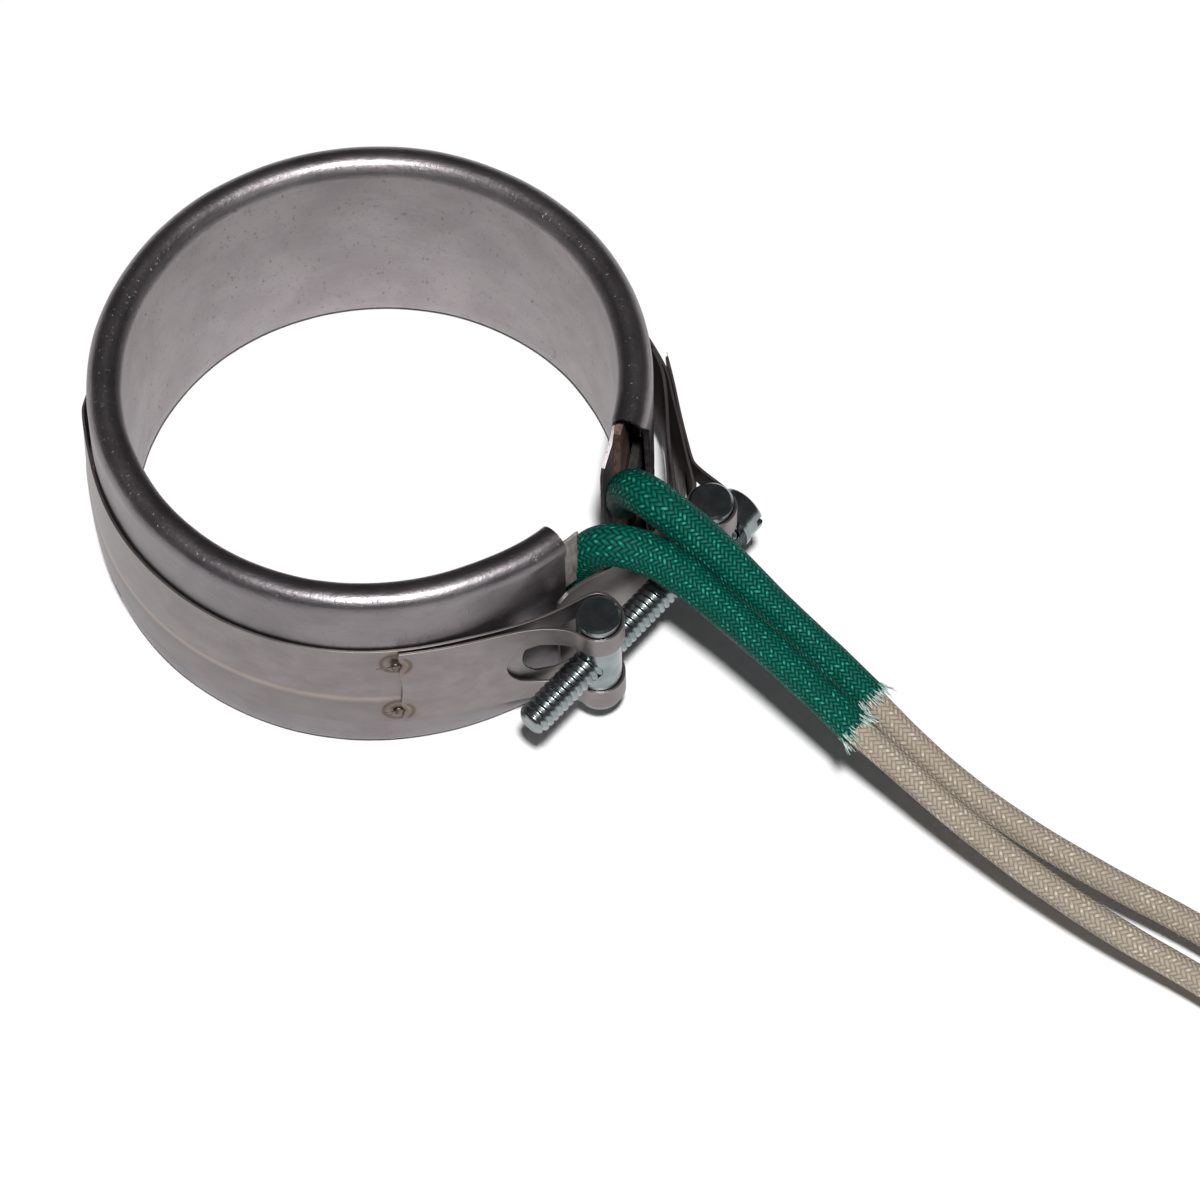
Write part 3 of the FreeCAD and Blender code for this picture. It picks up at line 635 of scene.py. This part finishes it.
def far_edge(inner, height):
    """Where the sheath stops at its torn far end, in degrees, from a point of its section: inner is 1 on
    the bore side and 0 outside; height is in millimetres."""
    tongue = FAR_CUT + 9.0 * smooth(height, 11.5, 15.5) + 1.2 * smooth(-height, 15.0, 17.5)
    cut = 26.0 + 5.4 * min(max((17.0 - height) / 13.8, 0.0), 1.0) + 0.3 * math.sin(height * 1.7)
    blend = smooth(inner, 0.35, 0.75)
    return tongue * blend + cut * (1 - blend)


def make_sheath():
    mesh = bmesh.new()
    half = TUBE_THICKNESS / 2
    upright = Matrix.Rotation(math.pi / 2, 4, "X")
    bmesh.ops.create_circle(mesh, segments=28, radius=half, matrix=upright)
    straight = BAND_TOP - half
    for vertex in mesh.verts:
        vertex.co.x += BORE_RADIUS + half
        vertex.co.z += straight if vertex.co.z > 0 or (abs(vertex.co.z) < 1e-9) else -straight
    walls = [e for e in mesh.edges if e.calc_length() > straight]
    bmesh.ops.subdivide_edges(mesh, edges=walls, cuts=18)
    bmesh.ops.rotate(mesh, verts=mesh.verts, matrix=Matrix.Rotation(FAR_END, 3, "Z"))
    sweep = math.tau - FAR_END + NEAR_END
    bmesh.ops.spin(
        mesh, geom=mesh.verts[:] + mesh.edges[:], cent=(0, 0, 0), axis=(0, 0, 1), angle=sweep,
        steps=260,
    )
    for vertex in mesh.verts:
        x, y, z = vertex.co / MM
        radius, angle = math.hypot(x, y), math.atan2(y, x) % math.tau
        if angle < FAR_END - 0.01:
            angle += math.tau
        inner = (OUTER_RADIUS / MM - radius) / (TUBE_THICKNESS / MM)
        past_far = math.degrees(angle - FAR_END)
        past_near = math.degrees(math.tau + NEAR_END - angle)
        if past_far < FAR_REACH:
            shift = far_edge(inner, z) - FAR_CUT
            angle += math.radians(shift * (1 - past_far / FAR_REACH) ** 1.6)
            # the inner wall's tongue is sprung outwards a little
            radius += 0.3 * inner * (1 - smooth(past_far, 0.0, 9.0))
        if past_near < NEAR_REACH:
            radius += 0.7 * (1 - smooth(past_near, 0.0, 22.0))
            # below a slanting crease the outer wall is pressed flat
            crease = 15.5 - 9.5 * smooth(past_near, 1.0, 26.0)
            pressed = smooth(crease - z, -0.5, 1.4) * (1 - smooth(past_near, 14.0, 27.0))
            radius -= 0.55 * pressed * (1 - inner) * (z > -12)
        wave = noise.noise((math.cos(angle) * 3.1, math.sin(angle) * 3.1, z * 0.05))
        radius += 0.10 * wave + 0.03 * noise.noise((x * 0.3, y * 0.3, z * 0.3))
        vertex.co = Vector((radius * math.cos(angle), radius * math.sin(angle), z)) * MM
    bmesh.ops.recalc_face_normals(mesh, faces=mesh.faces)
    sheath = piece("sheath_tube", mesh, finish["tube_steel"], "sheath_steel", replaces=("sheath",))
    add_modifier(sheath, "SOLIDIFY", thickness=SHEATH_WALL, offset=-1.0)
    soften_edges(sheath, 0.08 * MM)


# ---------------------------------------------------------------- strap and plate

STRAP_SHEET, PLATE_SHEET = 0.4 * MM, 0.5 * MM
STRIP_CELL = 0.5 * MM
TIGHT, LOOSE = 0.25, 0.70  # the strap's middle off the ring's outer face, round the back and in front
STRAP_LEVEL = (strap_low.z + strap_high.z) / 2
SLOT_HALF = 4.8 * MM


def on_ring(angle, stand):
    """A plan point at an angle in degrees, standing off the ring by millimetres."""
    radius = OUTER_RADIUS + stand * MM
    return Vector((radius * math.cos(math.radians(angle)), radius * math.sin(math.radians(angle)), 0))


def from_tangent(angle, stand, run):
    """A plan point a run in millimetres clockwise along the strap's tangent at an angle."""
    along = Vector((math.sin(math.radians(angle)), -math.cos(math.radians(angle)), 0))
    return on_ring(angle, stand) + along * run * MM


def round_ring(stand, start, end, count):
    """Control points whose spline lies on a circle round the ring."""
    step = (start - end) / count
    out = (OUTER_RADIUS + stand * MM) / math.cos(math.radians(step / 2)) - OUTER_RADIUS
    return [on_ring(start - (k + 0.5) * step, out / MM) for k in range(count)]


def beside(barrel, x, y):
    """A plan point beside a barrel, in millimetres from its axis."""
    return Vector((barrel.x + x * MM, barrel.y + y * MM, 0))


def strap_line():
    """The strap's plan, from its near weld round a barrel, the ring and the other barrel."""
    wrap = 3.45  # the loops' middle radius, in millimetres
    eighth = wrap * math.tan(math.pi / 8)
    near, far = near_barrel, far_barrel
    points = [on_ring(-43.9, 1.2), on_ring(-37.0, 1.33), on_ring(-29.8, 1.65), on_ring(-23.0, 2.3)]
    points += [
        beside(near, x, y)
        for x, y in ((-wrap - 2.05, -wrap - 2.75), (-wrap + 1.85, -wrap), (eighth, -wrap),
                     (wrap, -eighth), (wrap, eighth), (eighth, wrap + 0.15),
                     (-eighth, wrap + 0.6), (-wrap + 0.1, wrap - 0.3), (-wrap - 0.85, 0.1),
                     (-wrap - 2.65, -wrap - 1.25))
    ]
    points.append(from_tangent(-36.0, LOOSE, -8.0))
    points += round_ring(LOOSE, -36.0, -128.0, 6)
    points += [from_tangent(-128.0, LOOSE, 8.5), from_tangent(-156.0, TIGHT, -8.5)]
    points += round_ring(TIGHT, -156.0, -290.0, 8)
    points += [from_tangent(70.0, TIGHT, 13.7), on_ring(43.2, 2.7), on_ring(36.9, 3.68),
               on_ring(30.07, 5.3)]
    points += [
        beside(far, x, y)
        for x, y in ((-wrap - 2.65, wrap - 0.55), (-wrap - 0.4, 1.1), (-wrap, -0.3), (-wrap, -eighth),
                     (-eighth, -wrap), (eighth, -wrap), (wrap, -eighth), (wrap, eighth),
                     (eighth, wrap + 0.2), (-wrap - 2.75, wrap + 0.45))
    ]
    points += [on_ring(30.1, 5.9), on_ring(33.2, 4.97), on_ring(39.8, 3.6), on_ring(47.9, 3.0)]
    points.append(on_ring(52.4, 2.86))
    return Line(spline_points(points, 16))


def length_at(line, wanted, span):
    """The length along a line nearest to a plan point, looked for within a span of shares."""
    lengths = [line.length * (span[0] + (span[1] - span[0]) * k / 400) for k in range(401)]
    return min(lengths, key=lambda length: (line.at(length)[0] - wanted).length)


def bent_strip(name, line, slots, dress, sheet, material, replaced):
    """A sheet strip as high as the strap, stood on edge along a plan line. Slots are pairs of lengths.
    dress(length, height) gives its shift along and outwards. The strip is cut flat, then bent."""
    columns = int(line.length / STRIP_CELL)
    rows = (4, 10, 4)
    mesh = flat_grid(columns, sum(rows))
    marks = [strap_low.z, STRAP_LEVEL - SLOT_HALF, STRAP_LEVEL + SLOT_HALF, strap_high.z]
    for vertex in mesh.verts:
        row = round(vertex.co.y * sum(rows))
        band = 0
        while band < 2 and row > sum(rows[: band + 1]):
            band += 1
        share = (row - sum(rows[:band])) / rows[band]
        vertex.co.x *= line.length
        vertex.co.y = marks[band] + (marks[band + 1] - marks[band]) * share
    write_uv(mesh, 1 / MM, 1 / MM)
    for start, end in slots:
        first = round((start + SLOT_HALF) / line.length * columns) * line.length / columns
        last = round((end - SLOT_HALF) / line.length * columns) * line.length / columns
        inside = []
        for face in mesh.faces:
            centre = face.calc_center_median()
            if first < centre.x < last and abs(centre.y - STRAP_LEVEL) < SLOT_HALF:
                inside.append(face)
        bmesh.ops.delete(mesh, geom=inside, context="FACES")
        for vertex in mesh.verts:
            across = abs(vertex.co.y - STRAP_LEVEL)
            if across >= SLOT_HALF:
                continue
            bow = math.sqrt(SLOT_HALF**2 - across**2)
            for edge, towards in ((first, -1), (last, 1)):
                away = (vertex.co.x - edge) * towards / (10 * MM)
                if -1e-6 <= away < 1:
                    vertex.co.x += towards * bow * (1 - max(away, 0.0))
    for vertex in mesh.verts:
        length, height = vertex.co.x, vertex.co.y
        shift, out = dress(length, height)
        place, direction, _ = line.at(length + shift)
        beyond = min(length + shift, 0.0) + max(length + shift - line.length, 0.0)
        aside = Vector((direction.y, -direction.x, 0))
        vertex.co = place + direction * beyond + aside * out + Vector((0, 0, height))
    strip = piece(name, mesh, material, "strap_steel", replaces=(replaced,))
    add_modifier(strip, "SOLIDIFY", thickness=sheet, offset=0.0, use_even_offset=True)
    soften_edges(strip, 0.07 * MM)


TACK_SPREAD = 5.8 * MM
DRESSED_END = 8 * MM


def tack_pair(angle, stand):
    return [on_ring(angle, stand) + Vector((0, 0, STRAP_LEVEL + s * TACK_SPREAD)) for s in (-1, 1)]


near_tacks = tack_pair(-44.6, 1.3)
far_tacks = tack_pair(51.8, 2.9)


def make_strap():
    line = strap_line()
    near_out = length_at(line, on_ring(-22.9, 2.3), (0.0, 0.08))
    near_in = length_at(line, on_ring(-19.2, 2.0), (0.1, 0.3))
    far_in = length_at(line, on_ring(33.0, 4.5), (0.7, 0.9))
    far_out = length_at(line, on_ring(34.0, 4.9), (0.93, 1.0))

    def dress(length, height):
        """Scalloped and pressed at the welded ends, wavy elsewhere, tilted below a faint crease."""
        in_front = smooth(length, 0.10 * line.length, 0.14 * line.length)
        in_front *= smooth(0.55 * line.length - length, 0.0, 0.1 * line.length)
        below = smooth(CREASE_HEIGHT * MM - height, 0.0, 2.5 * MM)
        above = smooth(height, CREASE_HEIGHT * MM, strap_high.z)
        out = (0.22 * above - 0.16 * below) * MM * in_front
        out += 0.06 * MM * noise.noise((length / MM * 0.06, height / MM * 0.1, 2.0))
        shift = 0.0
        for past in (length, line.length - length):
            if past > DRESSED_END:
                continue
            weight = 1 - past / DRESSED_END
            towards = 1 if past == length else -1
            for side in (-1, 1):
                off = (height - STRAP_LEVEL - side * TACK_SPREAD) / MM
                shift += towards * weight * 0.7 * MM * math.exp(-(off * off) / 1.1)
                dip = math.exp(-(off * off) / 1.6 - (past / MM / 2.6) ** 2)
                out -= towards * 0.10 * MM * dip
            shift += towards * weight * 0.25 * MM * math.cos((height - STRAP_LEVEL) / MM * 0.55)
        return shift, out

    bent_strip(
        "strap_band", line, [(near_out, near_in), (far_in, far_out)], dress, STRAP_SHEET,
        finish["strap_steel"], "clamp_strap",
    )


def make_plate():
    """The plate across the gap, from its far weld to its free end under the strap."""
    plan = [(54.9, 1.2), (50.9, 1.85), (43.2, 1.85), (35.5, 2.1), (30.6, 2.76), (25.3, 4.1), (20.4, 5.6),
            (12.8, 5.0), (5.9, 3.9), (0.4, 2.8), (-3.0, 1.85), (-6.6, 1.65), (-10.6, 1.57)]
    line = Line(spline_points([on_ring(angle, stand) for angle, stand in plan], 16))

    def dress(length, height):
        """Rounded corners at the free end."""
        past = line.length - length
        corner = max(abs(height - STRAP_LEVEL) / MM - 6.9, 0.0) / 1.8
        shift = -1.6 * MM * corner**3 * max(1 - past / (6 * MM), 0.0)
        return shift, 0.05 * MM * noise.noise((length / MM * 0.12, height / MM * 0.15, 9.0))

    bent_strip("gap_plate", line, [], dress, PLATE_SHEET, finish["plate_steel"], "bridge_plate")


def make_tacks():
    """Flattened weld beads and the thin whiskers of metal drawn out of them."""
    for side, tacks, towards in (("near", near_tacks, -1), ("far", far_tacks, 1)):
        mesh = bmesh.new()
        whiskers = []
        for k, tack in enumerate(tacks):
            out = Vector((tack.x, tack.y, 0)).normalized()
            along = Vector((-out.y, out.x, 0)) * towards
            turn = out.to_track_quat("Z", "Y").to_matrix().to_4x4()
            squash = Matrix.Diagonal((0.75, 0.6, 0.28, 1.0))
            move = Matrix.Translation(tack - out * 0.1 * MM) @ turn @ squash
            bmesh.ops.create_icosphere(mesh, subdivisions=3, radius=MM, matrix=move)
            for lift, length in ((0.25, 2.3 + 0.5 * k), (-0.3, 1.5)):
                start = tack + out * 0.1 * MM + Vector((0, 0, lift * MM))
                lean = (along + out * 0.12 + Vector((0, 0, lift * 0.3))).normalized()
                whiskers.append((start, lean, length * MM, 0.09 * MM))
        for vertex in mesh.verts:
            vertex.co += vertex.normal * 0.05 * MM * noise.noise(vertex.co / MM * 1.3)
        # the far welds have no node of their own to replace
        replaced = (f"{side}_welds",) if side == "near" else ()
        piece(f"{side}_weld_beads", mesh, finish["weld"], "weld", replaces=replaced)
        fibres(f"{side}_weld_whiskers", whiskers, finish["weld"], "weld")


# ---------------------------------------------------------------- screw

PITCH = 1.058 * MM
THREAD_DEPTH = 0.55 * MM
THREAD_RADIUS = 2.4 * MM
TIP_RADIUS = 2.02 * MM
HEAD_RADIUS = (screw_high.x - screw_low.x) / 2
HEAD_HEIGHT = 3.28 * MM
SLOT_WIDTH, SLOT_CUT = 1.2 * MM, 2.8 * MM  # the cut is half above the head
WELD_TOGETHER = 0.004 * MM


def lay_screw():
    """Takes a piece turned about +Z, head up, to the screw's axis along +Y."""
    seat = Matrix.Translation((near_barrel.x, screw_high.y - HEAD_HEIGHT, near_barrel.z))
    return seat @ Matrix.Rotation(-math.pi / 2, 4, "X")


def make_thread():
    length = screw_high.y - screw_low.y - HEAD_HEIGHT
    turns = math.ceil(length / PITCH) + 2
    mesh = bmesh.new()
    profile = [(0.0, 0.0), (0.10, 0.0), (0.44, THREAD_DEPTH), (0.56, THREAD_DEPTH), (0.90, 0.0),
               (1.0, 0.0)]
    last = None
    for share, depth in profile:
        vertex = mesh.verts.new((THREAD_RADIUS - depth, 0, -length - PITCH + share * PITCH))
        if last:
            mesh.edges.new((last, vertex))
        last = vertex
    steps_a_turn = 24
    bmesh.ops.spin(
        mesh, geom=mesh.verts[:] + mesh.edges[:], cent=(0, 0, 0), axis=(0, 0, 1),
        angle=math.tau * turns, steps=steps_a_turn * turns, dvec=(0, 0, PITCH / steps_a_turn),
    )
    bmesh.ops.remove_doubles(mesh, verts=mesh.verts, dist=WELD_TOGETHER)
    for level, side in ((-length, -1), (0.2 * MM, 1)):
        geometry = mesh.verts[:] + mesh.edges[:] + mesh.faces[:]
        bmesh.ops.bisect_plane(
            mesh, geom=geometry, plane_co=(0, 0, level), plane_no=(0, 0, side), clear_outer=True
        )
    for vertex in mesh.verts:
        radius = math.hypot(vertex.co.x, vertex.co.y)
        allowed = TIP_RADIUS + (vertex.co.z + length) * 0.5
        if radius > allowed:
            vertex.co.x *= allowed / radius
            vertex.co.y *= allowed / radius
    bmesh.ops.holes_fill(mesh, edges=[e for e in mesh.edges if e.is_boundary], sides=400)
    bmesh.ops.recalc_face_normals(mesh, faces=mesh.faces)
    bmesh.ops.transform(mesh, matrix=lay_screw(), verts=mesh.verts)
    piece("screw_thread", mesh, finish["zinc"], "zinc_plate", body=SCREW)


def make_head():
    mesh = bmesh.new()
    rim = 0.5 * MM
    outline = [Vector((0, 0, 0)), Vector((HEAD_RADIUS, 0, 0)),
               Vector((HEAD_RADIUS, 0, HEAD_HEIGHT - rim))]
    for k in range(1, 5):
        angle = k / 4 * math.pi / 2
        outline.append(Vector((HEAD_RADIUS - rim + rim * math.cos(angle), 0,
                               HEAD_HEIGHT - rim + rim * math.sin(angle))))
    outline.append(Vector((0, 0, HEAD_HEIGHT)))
    corners = [mesh.verts.new(point) for point in outline]
    for before, after in zip(corners, corners[1:]):
        mesh.edges.new((before, after))
    bmesh.ops.spin(
        mesh, geom=mesh.verts[:] + mesh.edges[:], cent=(0, 0, 0), axis=(0, 0, 1), angle=math.tau,
        steps=64, use_merge=True,
    )
    bmesh.ops.remove_doubles(mesh, verts=mesh.verts, dist=WELD_TOGETHER)
    bmesh.ops.recalc_face_normals(mesh, faces=mesh.faces)
    lay = lay_screw()
    bmesh.ops.transform(mesh, matrix=lay, verts=mesh.verts)
    head = piece(
        "screw_head", mesh, finish["zinc"], "zinc_plate", body=SCREW, replaces=("clamp_screw",)
    )
    mesh = bmesh.new()
    place = Matrix.Translation((0, 0, HEAD_HEIGHT)) @ Matrix.Rotation(math.radians(-10), 4, "Z")
    shape = Matrix.Diagonal((12 * MM, SLOT_WIDTH, SLOT_CUT, 1.0))
    bmesh.ops.create_cube(mesh, size=1.0, matrix=place @ shape)
    bmesh.ops.transform(mesh, matrix=lay, verts=mesh.verts)
    cutter = new_object("slot_cutter", mesh)
    add_modifier(head, "BOOLEAN", operation="DIFFERENCE", object=cutter, solver="EXACT")
    cut = bpy.data.meshes.new_from_object(head.evaluated_get(bpy.context.evaluated_depsgraph_get()))
    head.modifiers.clear()
    head.data = cut
    cut.set_sharp_from_angle(angle=math.radians(35))
    bpy.data.objects.remove(cutter)
    soften_edges(head, 0.08 * MM)


def make_tongue():
    """The ragged leaf of the outer mica that shows past the ring's near end."""
    mesh = flat_grid(14, 24)
    start, end = math.radians(-9.0), math.radians(-3.0)
    low, high = 4.8 * MM, 16.4 * MM
    radius = OUTER_RADIUS - 0.75 * MM
    for vertex in mesh.verts:
        share, height = vertex.co.x, low + (high - low) * vertex.co.y
        ragged = 0.011 * noise.noise((height / MM * 0.9, 1.0, 4.0)) + 0.012 * vertex.co.y
        angle = start + (end - start + ragged) * share
        out = radius + (0.5 + 0.25 * noise.noise((share * 3, height / MM * 0.3, 0.0))) * share * MM
        vertex.co = Vector((out * math.cos(angle), out * math.sin(angle), height))
    leaf = piece("mica_leaf", mesh, finish["pale_mica"], "mica", replaces=("outer_mica",))
    add_modifier(leaf, "SOLIDIFY", thickness=0.35 * MM, offset=0.0)


# ---------------------------------------------------------------- the whole heater

finish = {
    "tube_steel": tube_steel(),
    "strap_steel": strip_steel("strap_steel", near_tacks + far_tacks),
    "plate_steel": strip_steel("plate_steel", ()),
    "zinc": zinc_plate(),
    "mica": mica(),
    "pale_mica": pale_mica(),
    "weld": plain_finish("weld", (0.10, 0.075, 0.06), (0.24, 0.19, 0.16), 0.3),
    "nickel": plain_finish("nickel", (0.5, 0.48, 0.45), (0.62, 0.6, 0.57), 0.25),
    "copper": plain_finish("copper", (0.5, 0.46, 0.42), (0.66, 0.63, 0.58), 0.25),
    "green_braid": braid(
        "green_braid", 22, 0.80,
        ((0.0, 0.018, 0.013), (0.0, 0.075, 0.052), (0.0, 0.15, 0.105), (0.03, 0.40, 0.30)), 0.5,
    ),
    "glass_braid": braid(
        "glass_braid", 14, 0.85,
        ((0.25, 0.205, 0.155), (0.36, 0.31, 0.245), (0.41, 0.36, 0.29), (0.66, 0.61, 0.52)), 0.5,
    ),
    "cut_strands": plain_finish("cut_strands", (0.2, 0.42, 0.36), (0.75, 0.82, 0.78), 0.5, YARN),
    "loose_yarn": plain_finish("loose_yarn", (0.5, 0.42, 0.33), (0.7, 0.62, 0.52), 0.5, YARN),
}
# The pieces that keep their CAD shape.
CAD_FINISHES = {
    "inner_mica": "mica", "element_card": "mica", "heating_ribbon": "nickel", "near_terminal": "nickel",
    "far_terminal": "nickel", "near_conductor": "copper", "far_conductor": "copper",
    "threaded_barrel": "zinc", "plain_barrel": "zinc", "screw_washer": "zinc",
}
for node, name in CAD_FINISHES.items():
    materials = frame["nodes"][node].data.materials
    materials.clear()
    materials.append(finish[name])

make_lead("near", NEAR_ROUTE, NEAR_SLEEVE_END, 1.0)
make_lead("far", FAR_ROUTE, FAR_SLEEVE_END, 4.0)
make_sheath()
make_strap()
make_plate()
make_tacks()
make_thread()
make_head()
make_tongue()

# ---------------------------------------------------------------- stage

FLOOR_SIZE = 3.0
FLOOR_WHITE = {"Base Color": (0.93, 0.93, 0.93), "Roughness": 0.9, "Specular IOR Level": 0.0}
KEY_TOWARDS = Vector((0.33, -0.32, 1.0))
KEY_WIDTH, KEY_STRENGTH = math.radians(4.0), 3.6
ROOM_COLOUR = (0.055, 0.053, 0.056, 1.0)
VIEW_AZIMUTH, VIEW_ELEVATION, VIEW_ROLL = (math.radians(a) for a in (41.5, 57.07, -1.684))
VIEW_CENTRE = Vector((42.41, -0.24, 0.0)) * MM
VIEW_DISTANCE = 1.01493
LENS = 215.97


def stage_floor():
    mesh = bmesh.new()
    bmesh.ops.create_grid(mesh, x_segments=1, y_segments=1, size=FLOOR_SIZE,
                          matrix=Matrix.Translation((0, 0, FLOOR_LEVEL)))
    floor = new_object("floor", mesh)
    floor.data.materials.append(Shade("floor_white", FLOOR_WHITE).material)


def key_light():
    data = bpy.data.lights.new("key", "SUN")
    data.angle = KEY_WIDTH
    data.energy = KEY_STRENGTH
    light = bpy.data.objects.new("key", data)
    light.rotation_mode = "QUATERNION"
    light.rotation_quaternion = KEY_TOWARDS.to_track_quat("Z", "Y")
    light.location = KEY_TOWARDS.normalized()
    bpy.context.collection.objects.link(light)


def world_light():
    world = bpy.data.worlds.new("room")
    world.use_nodes = True
    world.node_tree.nodes["Background"].inputs["Color"].default_value = ROOM_COLOUR
    bpy.context.scene.world = world


def place_camera():
    level = math.cos(VIEW_ELEVATION)
    back = Vector((math.sin(VIEW_AZIMUTH) * level, -math.cos(VIEW_AZIMUTH) * level,
                   math.sin(VIEW_ELEVATION)))
    data = bpy.data.cameras.new("camera")
    data.lens = LENS
    data.sensor_width = 36.0
    data.clip_start, data.clip_end = 0.01, 20.0
    camera = bpy.data.objects.new("camera", data)
    camera.rotation_mode = "QUATERNION"
    turn = (-back).to_track_quat("-Z", "Y").to_matrix() @ Matrix.Rotation(VIEW_ROLL, 3, "Z")
    camera.rotation_quaternion = turn.to_quaternion()
    camera.location = VIEW_CENTRE + back * VIEW_DISTANCE
    bpy.context.collection.objects.link(camera)
    bpy.context.scene.camera = camera


stage_floor()
key_light()
world_light()
place_camera()
bpy.context.scene.view_settings.view_transform = "Standard"
